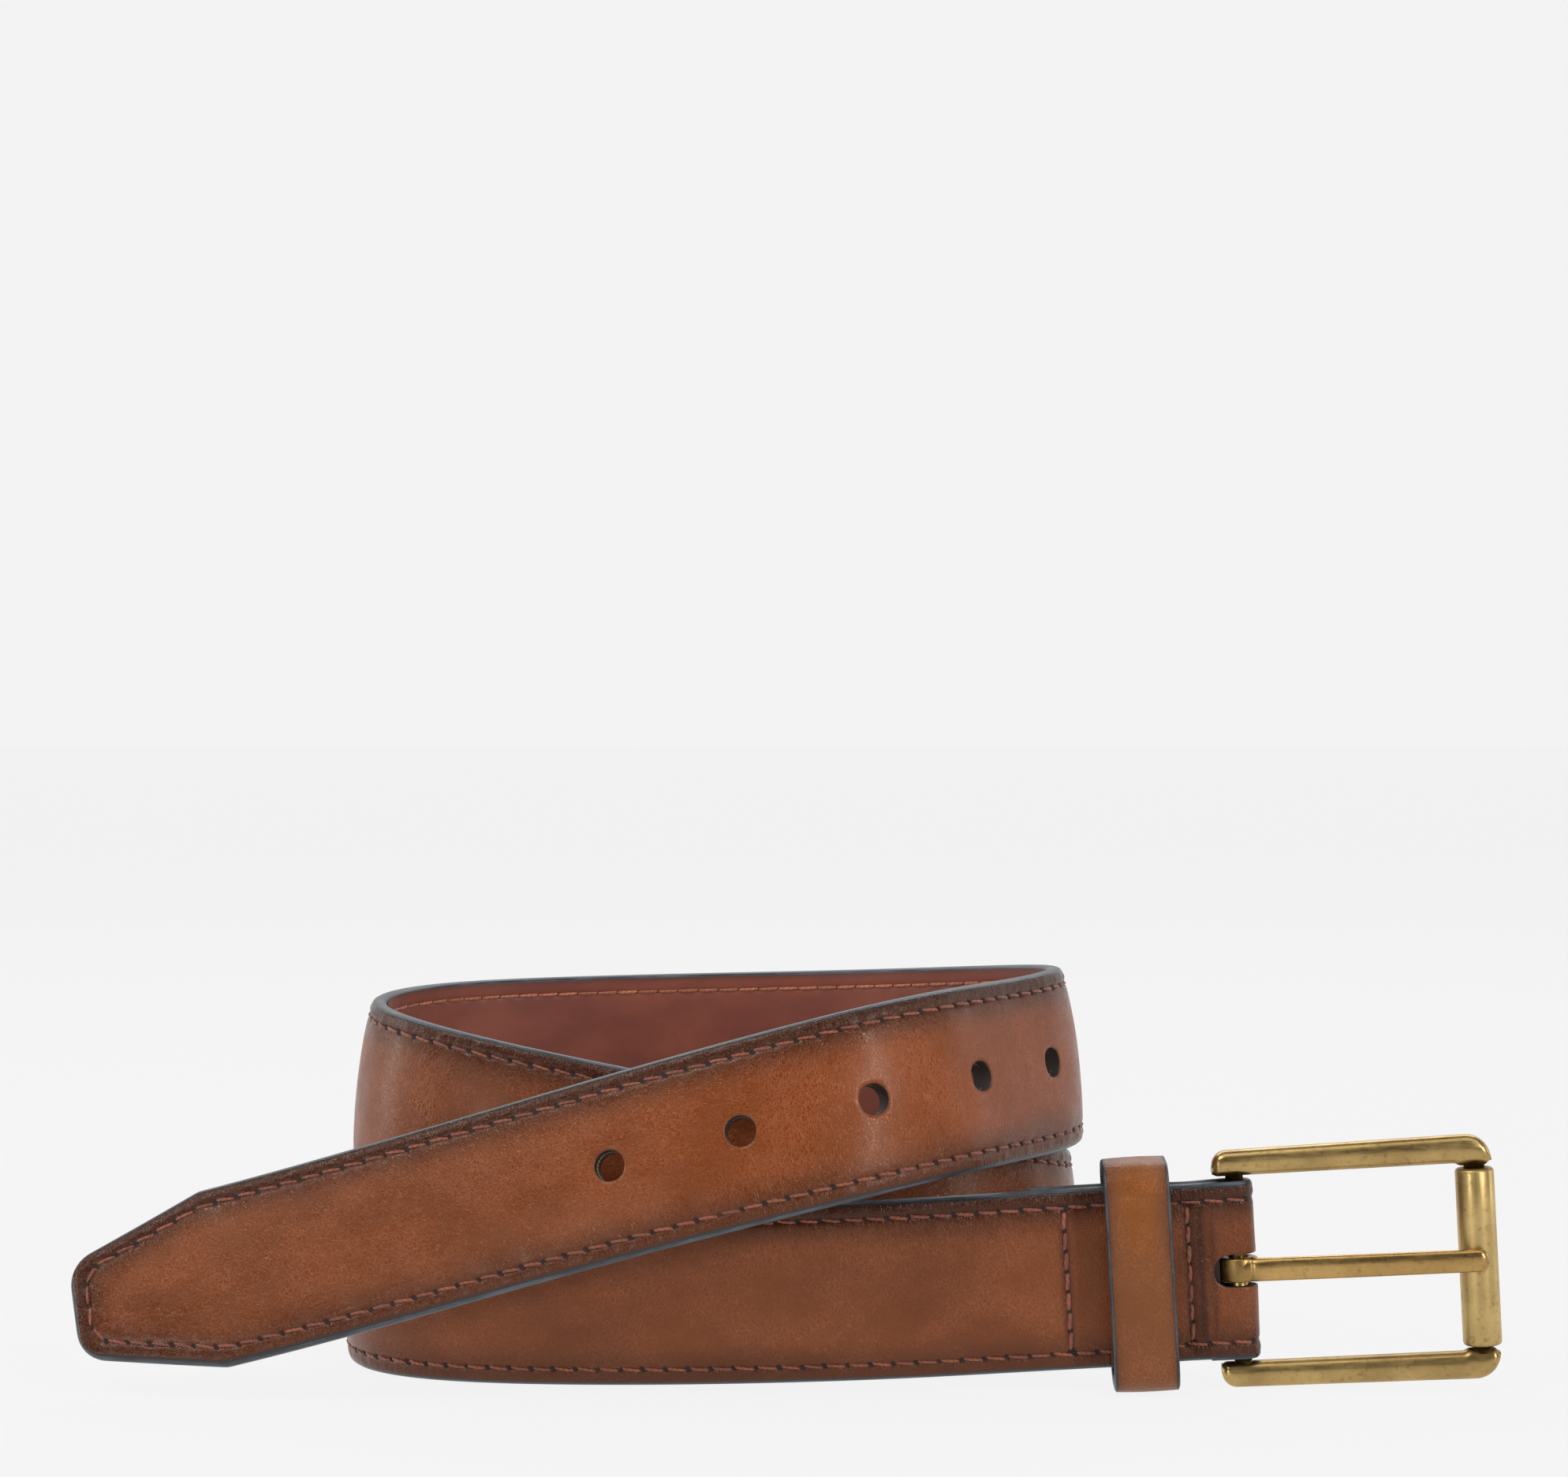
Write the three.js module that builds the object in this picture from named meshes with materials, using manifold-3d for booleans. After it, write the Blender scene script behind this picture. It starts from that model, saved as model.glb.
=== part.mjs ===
import * as THREE from 'three';
import { mergeVertices } from 'three/addons/utils/BufferGeometryUtils.js';
import Module from 'manifold-3d';

// Rolled leather belt standing on its lower edge. Millimetres, +Z up, buckle at +X, tip at -X.

// Strap
const STRAP_WIDTH = 35;
const FOLD_WIDTH = 34;
const FACE_PLY = 1.5;
const LINING_PLY = 1.4;
const PLY_GAP = 0.1;
const CROWN = 1.3;
const LINING_INSET = 0.15;
const LINING_START = 8.4;
const BACK = FACE_PLY + PLY_GAP + LINING_PLY;

// Turned-back end around the heel bar
const FOLD_RADIUS = 3.35;
const RETURN_LENGTH = 43;
const RETURN_SETTLE = 13;
const SLOT_WIDTH = 6.2;
const SLOT_END = 8.2;

// Filler under the crown
const FILLER_HALF_WIDTH = 13;
const FILLER_START = 10;
const FILLER_TIP_GAP = 9;
const FILLER_GAP = 0.18;
const FILLER_BED = 0.21;

// Pointed end and punched holes
const TAPER_LENGTH = 27.5;
const TAPER_ANGLE = 16.5;
const TIP_RADIUS = 6.5;
const HOLE_COUNT = 5;
const HOLE_PITCH = 25.4;
const HOLE_DIAMETER = 5.8;
const FIRST_HOLE = 107.2;

// Sewing
const STITCH_MARGIN = 3.4;
const THREAD_WIDTH = 0.7;
const THREAD_HEIGHT = 0.4;
const THREAD_GAP = 0.12;
const CROSS_ROWS = { cross_stitch_buckle: 12.9, cross_stitch_return: 36.2 };
const CROSS_ROW_HALF = 13.1;

// Keeper loop
const KEEPER_AT = 22.4;
const KEEPER_WIDTH = 12.2;
const KEEPER_HEIGHT = 44;
const KEEPER_RISE = 0.6;
const KEEPER_FRONT = 8.6;
const KEEPER_BACK = 7.4;
const KEEPER_RADIUS = 4.6;
const KEEPER_FACE_PLY = 1.3;
const KEEPER_LINING_PLY = 0.9;
const KEEPER_PLY_GAP = 0.08;
const KEEPER_YAW = 4.5;

// Buckle
const HEEL_BAR_DIAMETER = 3.4;
const PIN_DIAMETER = 4;
const PIN_AT = 45.6;
const FRAME_LEFT = -4.2;
const FRAME_RIGHT = 48.8;
const FRAME_DEPTH = 4.6;
const ARM_INSIDE_HEEL = 17.8;
const ARM_INSIDE_ROLLER = 18;
const ARM_TOP_HEEL = 22.7;
const ARM_TOP_ROLLER = 23.5;
const BAR_SIDES = 16;
const ROLLER_DIAMETER = 7.4;
const ROLLER_BORE = 4.6;
const ROLLER_LENGTH = 34;
const ROLLER_CHAMFER = 0.7;
const PRONG_WIDTH = 4.5;
const PRONG_THICKNESS = 2.5;
const PRONG_SEAT = 4.05;
const PRONG_LOOP = 3.7;
const PRONG_BORE = 1.95;
const PRONG_TIP = 47.2;

// Centre line of the strap's face from the fold to the tip: x, y, z and the inward lean of the top edge.
const ROUTE = [
  [90, -1, 23.3, 0], [72, -0.5, 22.3, -1], [50, 0, 20.9, -3], [22, 0, 19.1, -4],
  [-10, 0, 18.1, -4], [-42, 0.5, 17.9, -3], [-70, 6, 17.8, -2], [-86.5, 22, 17.7, -1],
  [-87.5, 50, 17.7, 0], [-72, 70, 17.8, 0], [-42, 78, 18, 0], [-8, 80, 18.5, 0],
  [25, 77, 19.5, 0], [49, 67, 20.8, 0], [59.5, 45, 22.8, 0], [54, 22, 26, 2],
  [32, 10, 30.8, 4], [0, 8, 37, 6], [-32, 9, 43.2, 8], [-60, 12, 48.5, 8],
  [-81, 24, 52.7, 7], [-86.5, 48, 54, 6], [-73, 69, 54.6, 5], [-44, 79, 54.8, 4],
  [-10, 82, 55.3, 4], [22, 79, 56.2, 4], [53.5, 60.5, 59, 4], [60, 33.5, 60.9, 7.5],
  [47.5, 16, 59.9, 11], [34.5, -4.5, 60.4, 13], [11, -19, 56.8, 14.5], [-21.5, -17.5, 48.4, 16.5],
  [-59, -10, 36.8, 19.5], [-98, -6.5, 25.1, 22.5], [-134.8, -4, 16.1, 25],
];
const BEND_SAG = 0.1;
const LONGEST_STEP = 9;

const LEATHER = { color: 0x8f4f26, roughness: 0.38, metalness: 0 };
const LINING = { color: 0x7b3b2a, roughness: 0.68, metalness: 0 };
const FILLER = { color: 0x9a7a55, roughness: 0.85, metalness: 0 };
const FACE_THREAD = { color: 0xa0522f, roughness: 0.7, metalness: 0 };
const BACK_THREAD = { color: 0xb9774a, roughness: 0.75, metalness: 0 };
const KEEPER_LEATHER = { color: 0x965a2c, roughness: 0.36, metalness: 0 };
const BRASS = { color: 0xb5934a, roughness: 0.34, metalness: 0.95 };
const ROLLER_BRASS = { color: 0xa98c48, roughness: 0.4, metalness: 0.95 };
const PRONG_BRASS = { color: 0xbd9a50, roughness: 0.3, metalness: 0.95 };

const rad = THREE.MathUtils.degToRad;
const smooth = THREE.MathUtils.smoothstep;
const part = new THREE.Group();
part.name = 'leather_belt';
const wasm = await Module();
wasm.setup();

// Uniform cubic B-spline through the clamped ends of the route.
function splineAt(t) {
  const last = ROUTE.length - 1;
  const first = Math.min(Math.floor(t * last), last - 1);
  const f = t * last - first;
  const weight = [(1 - f) ** 3, 3 * f ** 3 - 6 * f ** 2 + 4, -3 * f ** 3 + 3 * f ** 2 + 3 * f + 1, f ** 3];
  const control = (i) => {
    if (i < 0) return ROUTE[0].map((c, k) => 2 * c - ROUTE[1][k]);
    if (i > last) return ROUTE[last].map((c, k) => 2 * c - ROUTE[last - 1][k]);
    return ROUTE[i];
  };
  const sum = [0, 0, 0, 0];
  weight.forEach((w, i) => control(first + i - 1).forEach((c, k) => { sum[k] += w * c / 6; }));
  return sum;
}

class StrapCurve extends THREE.Curve {
  getPoint(t, target = new THREE.Vector3()) {
    const [x, y, z] = splineAt(t);
    return target.set(x, y, z);
  }
}

const curve = new StrapCurve();
curve.arcLengthDivisions = 2000;
const LENGTH = curve.getLength();

// Position and axes of the strap at a distance from the fold.
function station(distance) {
  const t = curve.getUtoTmapping(0, distance);
  const point = curve.getPoint(t);
  const along = curve.getTangent(t);
  const lean = rad(splineAt(t)[3]);
  const flat = new THREE.Vector3(0, 0, 1).cross(along).normalize();
  const upright = along.clone().cross(flat);
  const across = upright.clone().multiplyScalar(Math.cos(lean)).addScaledVector(flat, -Math.sin(lean));
  const out = flat.clone().multiplyScalar(Math.cos(lean)).addScaledVector(upright, Math.sin(lean));
  return { point, along, across, out };
}

function place(at, u, v) {
  return at.point.clone().addScaledVector(at.across, u).addScaledVector(at.out, v);
}

function halfWidth(distance) {
  const fromTip = Math.max(LENGTH - distance, 0);
  const slope = Math.tan(rad(TAPER_ANGLE));
  const side = STRAP_WIDTH / 2 - slope * Math.max(TAPER_LENGTH - fromTip, 0);
  const blunt = STRAP_WIDTH / 2 - slope * TAPER_LENGTH;
  const corner = blunt - TIP_RADIUS / Math.tan(rad(45 + TAPER_ANGLE / 2));
  if (fromTip < TIP_RADIUS * (1 - Math.sin(rad(TAPER_ANGLE)))) {
    return corner + Math.sqrt(TIP_RADIUS ** 2 - (TIP_RADIUS - fromTip) ** 2);
  }
  return side - (STRAP_WIDTH - FOLD_WIDTH) / 2 * (1 - smooth(distance, 13, 26));
}

const CROWN_STEPS = [-1, -0.7, -0.35, 0, 0.35, 0.7, 1];

// Height of the crowned face at a distance along and an offset across the strap.
function faceHeight(distance, u) {
  const half = halfWidth(distance);
  const rise = CROWN * smooth(distance, FOLD_RADIUS, 40) * (half / (STRAP_WIDTH / 2)) ** 2;
  const place01 = THREE.MathUtils.clamp(u / half, -1, 1);
  const k = Math.min(CROWN_STEPS.findIndex((step) => place01 < step) - 1, CROWN_STEPS.length - 2);
  const i = k < 0 ? CROWN_STEPS.length - 2 : k;
  const [a, b] = [CROWN_STEPS[i], CROWN_STEPS[i + 1]];
  const mix = (place01 - a) / (b - a);
  return rise * ((1 - a * a) * (1 - mix) + (1 - b * b) * mix);
}

function returnHeight(distance) {
  const start = -2 * FOLD_RADIUS + FACE_PLY;
  return start + (-BACK - PLY_GAP - start) * smooth(distance, FOLD_RADIUS, RETURN_SETTLE);
}

// Distances along the strap shared by every layer, closer together where it bends.
const FOLD_STEPS = [6, LINING_START, FILLER_START, 13, 20, 26, 33, 40];
const TIP_STEPS = [0.3, 1, 2.2, 4.6, 10, 18, TAPER_LENGTH].map((d) => LENGTH - d);
const STOPS = [...FOLD_STEPS];
for (let at = FOLD_STEPS.at(-1); at < TIP_STEPS.at(-1) - 2;) {
  const turn = station(at).along.angleTo(station(at + 2).along);
  at += THREE.MathUtils.clamp(Math.sqrt(16 * BEND_SAG / Math.max(turn, 0.001)), 2, LONGEST_STEP);
  if (at < TIP_STEPS.at(-1) - 1) STOPS.push(at);
}
STOPS.push(...TIP_STEPS.reverse());

function stopsBetween(start, end) {
  return [start, ...STOPS.filter((d) => d > start + 0.01 && d < end - 0.01), end];
}

function geometryOf(points, faces) {
  const geometry = new THREE.BufferGeometry();
  const flat = points.flatMap((p) => [p.x, p.y, p.z]);
  geometry.setAttribute('position', new THREE.Float32BufferAttribute(flat, 3));
  geometry.setIndex(faces);
  return geometry;
}

// Closed sheet between two matching grids of points.
function sheet(outer, inner) {
  const rows = outer.length;
  const columns = outer[0].length;
  const points = [...outer.flat(), ...inner.flat()];
  const o = (i, j) => i * columns + j;
  const n = (i, j) => rows * columns + i * columns + j;
  const faces = [];
  const quad = (a, b, c, d) => faces.push(a, b, c, a, c, d);
  for (let i = 0; i < rows - 1; i += 1) {
    for (let j = 0; j < columns - 1; j += 1) {
      quad(o(i, j), o(i + 1, j), o(i + 1, j + 1), o(i, j + 1));
      quad(n(i, j), n(i, j + 1), n(i + 1, j + 1), n(i + 1, j));
    }
    quad(n(i, 0), n(i + 1, 0), o(i + 1, 0), o(i, 0));
    quad(o(i, columns - 1), o(i + 1, columns - 1), n(i + 1, columns - 1), n(i, columns - 1));
  }
  for (let j = 0; j < columns - 1; j += 1) {
    quad(o(0, j), o(0, j + 1), n(0, j + 1), n(0, j));
    quad(o(rows - 1, j + 1), o(rows - 1, j), n(rows - 1, j), n(rows - 1, j + 1));
  }
  return geometryOf(points, faces);
}

// Closed bead through rings of points, with its two ends capped or joined to each other.
function bead(rings, joined = false) {
  const size = rings[0].length;
  const faces = [];
  const count = joined ? rings.length : rings.length - 1;
  for (let i = 0; i < count; i += 1) {
    for (let j = 0; j < size; j += 1) {
      const [a, b] = [i * size + j, i * size + (j + 1) % size];
      const next = ((i + 1) % rings.length) * size;
      faces.push(a, b, next + (j + 1) % size, a, next + (j + 1) % size, next + j);
    }
  }
  const end = (rings.length - 1) * size;
  for (let j = 1; j < size - 1 && !joined; j += 1) {
    faces.push(0, j + 1, j, end, end + j, end + j + 1);
  }
  return geometryOf(rings.flat(), faces);
}

function toManifold(geometry) {
  const bare = geometry.clone();
  bare.deleteAttribute('normal');
  bare.deleteAttribute('uv');
  const merged = mergeVertices(bare, 1e-4);
  const index = merged.index.array;
  const position = merged.attributes.position.array;
  const build = (triVerts) => new wasm.Manifold(new wasm.Mesh({
    numProp: 3,
    vertProperties: Float32Array.from(position),
    triVerts,
  }));
  const solid = build(Uint32Array.from(index));
  if (solid.volume() > 0) return solid;
  const flipped = Uint32Array.from(index);
  for (let i = 0; i < flipped.length; i += 3) [flipped[i], flipped[i + 1]] = [flipped[i + 1], flipped[i]];
  return build(flipped);
}

function toGeometry(solid) {
  const mesh = solid.getMesh();
  const geometry = new THREE.BufferGeometry();
  geometry.setAttribute('position', new THREE.Float32BufferAttribute(mesh.vertProperties, 3));
  geometry.setIndex([...mesh.triVerts]);
  return geometry;
}

function add(name, solid, look) {
  const geometry = toGeometry(solid);
  geometry.computeVertexNormals();
  const mesh = new THREE.Mesh(geometry, new THREE.MeshStandardMaterial(look));
  mesh.name = name;
  part.add(mesh);
}

// Cylinder across the strap's thickness at a distance along it.
function punch(distance, radius) {
  const at = station(distance);
  const cutter = new THREE.CylinderGeometry(radius, radius, 12, 24);
  cutter.applyMatrix4(new THREE.Matrix4().makeBasis(at.along, at.out, at.along.clone().cross(at.out)));
  cutter.translate(...at.point);
  return toManifold(cutter);
}

const holes = Array.from({ length: HOLE_COUNT }, (_, k) => LENGTH - FIRST_HOLE - k * HOLE_PITCH)
  .map((distance) => punch(distance, HOLE_DIAMETER / 2))
  .reduce((all, one) => all.add(one));

// Face leather: the front, the fold around the heel bar and the turned-back end.
function faceLeather() {
  const outer = [];
  const inner = [];
  const row = (distance, half, top, bottom, bottomDistance = distance) => {
    const [a, b] = [station(distance), station(bottomDistance)];
    outer.push(CROWN_STEPS.map((step) => place(a, step * half, top(step * half))));
    inner.push(CROWN_STEPS.map((step) => place(b, step * half, bottom(step * half))));
  };
  for (const d of stopsBetween(FOLD_RADIUS + 1, RETURN_LENGTH).reverse()) {
    row(d, halfWidth(d), () => returnHeight(d) - FACE_PLY, () => returnHeight(d));
  }
  const turns = 8;
  for (let k = turns; k >= 0; k -= 1) {
    const angle = Math.PI * k / turns;
    const at = (radius) => [FOLD_RADIUS - radius * Math.sin(angle), radius * Math.cos(angle) - FOLD_RADIUS];
    const [outerDistance, top] = at(FOLD_RADIUS);
    const [innerDistance, bottom] = at(FOLD_RADIUS - FACE_PLY);
    row(Math.max(outerDistance, 0), FOLD_WIDTH / 2, () => top, () => bottom, innerDistance);
  }
  for (const d of stopsBetween(FOLD_RADIUS, LENGTH).slice(1)) {
    row(d, halfWidth(d), (u) => faceHeight(d, u), (u) => faceHeight(d, u) - FACE_PLY);
  }
  return sheet(outer, inner);
}

function slot() {
  const at = station(FOLD_RADIUS);
  const round = SLOT_END - SLOT_WIDTH / 2;
  const box = new THREE.BoxGeometry(round + 4, 16, SLOT_WIDTH);
  box.translate((round - 4) / 2, -FOLD_RADIUS, 0);
  const end = new THREE.CylinderGeometry(SLOT_WIDTH / 2, SLOT_WIDTH / 2, 16, 32);
  end.translate(round, -FOLD_RADIUS, 0);
  const shape = toManifold(box).add(toManifold(end));
  const basis = new THREE.Matrix4().makeBasis(at.along, at.out, at.along.clone().cross(at.out));
  basis.setPosition(place(at, 0, 0).addScaledVector(at.along, -FOLD_RADIUS));
  return shape.transform(basis.elements);
}

add('top_leather', toManifold(faceLeather()).subtract(holes).subtract(slot()), LEATHER);

function lining() {
  const rows = stopsBetween(LINING_START, LENGTH - LINING_INSET);
  const layer = (height) => rows.map((d) => {
    const half = halfWidth(d) - LINING_INSET;
    return [-1, 0, 1].map((step) => place(station(d), step * half, height));
  });
  return sheet(layer(-FACE_PLY - PLY_GAP), layer(-BACK));
}

add('lining_leather', toManifold(lining()).subtract(holes), LINING);

function filler() {
  const rows = stopsBetween(FILLER_START, LENGTH - FILLER_TIP_GAP);
  const layer = (height) => rows.map((d) => {
    const half = Math.min(FILLER_HALF_WIDTH, halfWidth(d) - 4.5);
    return [-1, 0, 1].map((step) => place(station(d), step * half, height(d, step * half)));
  });
  const crown = (d, u) => faceHeight(d, Math.abs(u) * 1.06) - FACE_PLY - FILLER_GAP;
  return sheet(layer(crown), layer(() => FILLER_BED - FACE_PLY - PLY_GAP));
}

add('core_filler', toManifold(filler()).subtract(holes), FILLER);

// Row of sewing parallel to the strap's edge, around the tip and back: distance and offset pairs.
function seamPath(start) {
  const slope = Math.tan(rad(TAPER_ANGLE));
  const blunt = STRAP_WIDTH / 2 - slope * TAPER_LENGTH;
  const corner = blunt - TIP_RADIUS / Math.tan(rad(45 + TAPER_ANGLE / 2));
  const turn = TIP_RADIUS - STITCH_MARGIN;
  const side = stopsBetween(start, LENGTH - TAPER_LENGTH - 0.5).map((d) => [d, halfWidth(d) - STITCH_MARGIN]);
  for (const d of [18, 10]) {
    side.push([LENGTH - d, halfWidth(LENGTH - d) - STITCH_MARGIN / Math.cos(rad(TAPER_ANGLE))]);
  }
  for (let k = 0; k <= 5; k += 1) {
    const angle = rad(TAPER_ANGLE + (90 - TAPER_ANGLE) * k / 5);
    side.push([LENGTH - TIP_RADIUS + turn * Math.sin(angle), corner + turn * Math.cos(angle)]);
  }
  return [...side, ...side.map(([d, u]) => [d, -u]).reverse()];
}

// Thread lying on the strap; outward is +1 for the face and -1 for the lining.
function seam(path, height, outward) {
  const rings = path.map(([d, u], i) => {
    const before = path[Math.max(i - 1, 0)];
    const after = path[Math.min(i + 1, path.length - 1)];
    const heading = new THREE.Vector2(after[0] - before[0], after[1] - before[1]).normalize();
    const point = (side, lift) => {
      const dd = d - heading.y * side * THREAD_WIDTH / 2;
      const uu = u + heading.x * side * THREAD_WIDTH / 2;
      const base = Math.max(outward * height(dd, uu), outward * height(d, u));
      return place(station(dd), uu, outward * (base + THREAD_GAP + lift));
    };
    return [point(-1, 0), point(1, 0), point(0, THREAD_HEIGHT)];
  });
  return bead(rings);
}

function backHeight(distance) {
  const onReturn = returnHeight(distance) - FACE_PLY;
  return distance < RETURN_LENGTH + 0.4 ? onReturn : -BACK;
}

const seamStart = FOLD_RADIUS + 0.6;
add('edge_stitch_face', toManifold(seam(seamPath(seamStart), faceHeight, 1)), FACE_THREAD);
add('edge_stitch_lining', toManifold(seam(seamPath(RETURN_LENGTH + 1), backHeight, -1)), BACK_THREAD);

for (const [name, distance] of Object.entries(CROSS_ROWS)) {
  const half = halfWidth(distance);
  const stops = [-CROSS_ROW_HALF, ...CROWN_STEPS.slice(1, -1).map((step) => step * half), CROSS_ROW_HALF];
  add(name, toManifold(seam(stops.map((u) => [distance, u]), faceHeight, 1)), FACE_THREAD);
}

// Rounded rectangle through the keeper's section: offset v out of the strap and u across it.
function keeperLoop(inset) {
  const middle = (KEEPER_FRONT - KEEPER_BACK) / 2;
  const [halfV, halfU] = [(KEEPER_FRONT + KEEPER_BACK) / 2 - inset, KEEPER_HEIGHT / 2 - inset];
  const radius = KEEPER_RADIUS - inset;
  const loop = [];
  for (const [sv, su] of [[1, 1], [-1, 1], [-1, -1], [1, -1]]) {
    for (let k = 0; k <= 5; k += 1) {
      const angle = sv === su ? rad(18 * k) : rad(90 - 18 * k);
      const v = middle + sv * (halfV - radius + radius * Math.cos(angle));
      const u = KEEPER_RISE + su * (halfU - radius + radius * Math.sin(angle));
      loop.push([v, u]);
    }
  }
  return loop;
}

function keeperPly(outerInset, innerInset) {
  const at = station(KEEPER_AT);
  const [outer, inner] = [keeperLoop(outerInset), keeperLoop(innerInset)];
  const corner = ([v, u], side) => {
    const yaw = rad(KEEPER_YAW) * smooth(v, -KEEPER_BACK, KEEPER_FRONT);
    return place(at, u, v)
      .addScaledVector(at.along, side * Math.cos(yaw) * KEEPER_WIDTH / 2)
      .addScaledVector(at.out, -side * Math.sin(yaw) * KEEPER_WIDTH / 2);
  };
  const ring = (p, q) => [corner(p, -1), corner(p, 1), corner(q, 1), corner(q, -1)];
  return bead(outer.map((p, i) => ring(p, inner[i])), true);
}

const keeperInner = KEEPER_FACE_PLY + KEEPER_PLY_GAP;
add('keeper_leather', toManifold(keeperPly(0, KEEPER_FACE_PLY)), KEEPER_LEATHER);
add('keeper_lining', toManifold(keeperPly(keeperInner, keeperInner + KEEPER_LINING_PLY)), LINING);

// Buckle axes: x away from the strap, y to the back, z up the heel bar.
const foldStation = station(FOLD_RADIUS);
const buckleBasis = new THREE.Matrix4().makeBasis(
  foldStation.along.clone().negate(),
  foldStation.out.clone().negate(),
  foldStation.across,
);
buckleBasis.setPosition(place(foldStation, 0, -FOLD_RADIUS));

function postAlongZ(radius, length, x, segments = 24) {
  const post = new THREE.CylinderGeometry(radius, radius, length, segments);
  post.rotateX(Math.PI / 2);
  post.translate(x, 0, 0);
  return toManifold(post);
}

// Bar along x from rounded sections; each section gives its limits in y and z.
function bar(stops, section) {
  const rings = stops.map((x) => {
    const { y, z } = section(x);
    return Array.from({ length: BAR_SIDES }, (_, k) => {
      const angle = 2 * Math.PI * (k + 0.5) / BAR_SIDES;
      const round = (value) => Math.sign(value) * Math.abs(value) ** 0.6;
      return new THREE.Vector3(
        x,
        (y[0] + y[1]) / 2 + (y[1] - y[0]) / 2 * round(Math.cos(angle)),
        (z[0] + z[1]) / 2 + (z[1] - z[0]) / 2 * round(Math.sin(angle)),
      );
    });
  });
  return toManifold(bead(rings));
}

// Drop of a rounded corner at a distance in from the end of a bar.
function cornerDrop(inwards, radius) {
  const left = Math.max(radius - inwards, 0);
  return radius - Math.sqrt(radius ** 2 - left ** 2);
}

function frameArm() {
  const [left, right] = [FRAME_LEFT, FRAME_RIGHT];
  const stops = [0, 0.3, 0.9, 1.8, 2.8].map((d) => left + d)
    .concat([12, 24, 34, 42, 43])
    .concat([4.8, 3.4, 2.2, 1.2, 0.5, 0.1].map((d) => right - d));
  return bar(stops, (x) => {
    const mix = (x - left) / (right - left);
    const end = Math.min(x - left, right - x);
    const top = THREE.MathUtils.lerp(ARM_TOP_HEEL, ARM_TOP_ROLLER, mix)
      - cornerDrop(x - left, 2.8) - cornerDrop(right - x, 4.8);
    const bottom = THREE.MathUtils.lerp(ARM_INSIDE_HEEL, ARM_INSIDE_ROLLER, mix)
      - 0.5 * smooth(x, 42, 43) + 0.8 * (1 - smooth(right - x, 0, 1.2));
    const half = FRAME_DEPTH / 2 - 0.7 * (1 - smooth(end, 0, 1.2));
    return { y: [-half, half], z: [bottom, top] };
  });
}

const arm = frameArm();
const frame = arm.add(arm.mirror([0, 0, 1]))
  .add(postAlongZ(HEEL_BAR_DIAMETER / 2, 38, 0))
  .add(postAlongZ(PIN_DIAMETER / 2, 38, PIN_AT));
add('buckle_frame', frame.transform(buckleBasis.elements), BRASS);

// Prong from the loop around the heel bar, arched forward onto the roller.
function prong() {
  const stops = [0.6, 1.6, 3, 5, 8, 13, 20, 28, 36]
    .concat([4, 2.2, 1.2, 0.5, 0.12].map((d) => PRONG_TIP - d));
  const body = bar(stops, (x) => {
    const left = PRONG_TIP - x;
    const rise = Math.min((x / PRONG_TIP) ** 0.45, 1);
    const back = PRONG_SEAT * rise * (1.06 - 0.06 * x / PRONG_TIP) - 1.4 * (1 - smooth(x, 0, 3));
    const front = back + THREE.MathUtils.lerp(3, PRONG_THICKNESS, smooth(x, 0, 12)) - cornerDrop(left, 1.8);
    const half = PRONG_WIDTH / 2 - 0.1 * x / PRONG_TIP - cornerDrop(left, 2.1);
    return { y: [-front, -back], z: [-half, half] };
  });
  return body
    .add(postAlongZ(PRONG_LOOP, PRONG_WIDTH, 0, 32))
    .subtract(postAlongZ(PRONG_BORE, PRONG_WIDTH + 2, 0, 32));
}

add('prong', prong().transform(buckleBasis.elements), PRONG_BRASS);

function roller() {
  const [bore, rim, half] = [ROLLER_BORE / 2, ROLLER_DIAMETER / 2, ROLLER_LENGTH / 2];
  const profile = [
    [bore, -half], [rim - ROLLER_CHAMFER, -half], [rim, -half + ROLLER_CHAMFER],
    [rim, half - ROLLER_CHAMFER], [rim - ROLLER_CHAMFER, half], [bore, half], [bore, -half],
  ].map(([r, h]) => new THREE.Vector2(r, h));
  const tube = new THREE.LatheGeometry(profile, 32);
  tube.rotateX(Math.PI / 2);
  tube.translate(PIN_AT, 0, 0);
  return toManifold(tube);
}

add('roller', roller().transform(buckleBasis.elements), ROLLER_BRASS);

// The origin sits under the middle of the belt, on the surface it stands on.
const box = new THREE.Box3().setFromObject(part);
const middle = box.getCenter(new THREE.Vector3());
part.position.set(-middle.x, -middle.y, -box.min.z);

export default part;
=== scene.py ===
"""Looks of the rolled leather belt: strap, sewing, keeper loop and brass buckle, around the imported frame."""
import math

import bpy
import numpy as np
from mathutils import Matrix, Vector
from mathutils.kdtree import KDTree


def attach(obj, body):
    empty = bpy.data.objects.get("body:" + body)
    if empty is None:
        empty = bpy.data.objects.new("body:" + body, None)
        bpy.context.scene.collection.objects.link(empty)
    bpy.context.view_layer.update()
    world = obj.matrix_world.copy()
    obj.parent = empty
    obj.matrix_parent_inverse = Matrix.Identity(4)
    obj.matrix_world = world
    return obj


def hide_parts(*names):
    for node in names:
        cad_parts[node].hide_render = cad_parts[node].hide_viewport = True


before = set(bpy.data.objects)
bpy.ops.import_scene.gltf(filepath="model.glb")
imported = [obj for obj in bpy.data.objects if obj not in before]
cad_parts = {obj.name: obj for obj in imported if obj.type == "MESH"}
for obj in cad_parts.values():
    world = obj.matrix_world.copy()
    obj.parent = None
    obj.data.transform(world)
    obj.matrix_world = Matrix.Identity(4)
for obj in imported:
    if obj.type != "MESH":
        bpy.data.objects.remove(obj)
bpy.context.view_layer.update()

# ---------------------------------------------------------------- dimensions, in millimetres
ORIGIN = np.array([-0.577, -30.153, -0.193])
STRAP_WIDTH = 35.0
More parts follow.
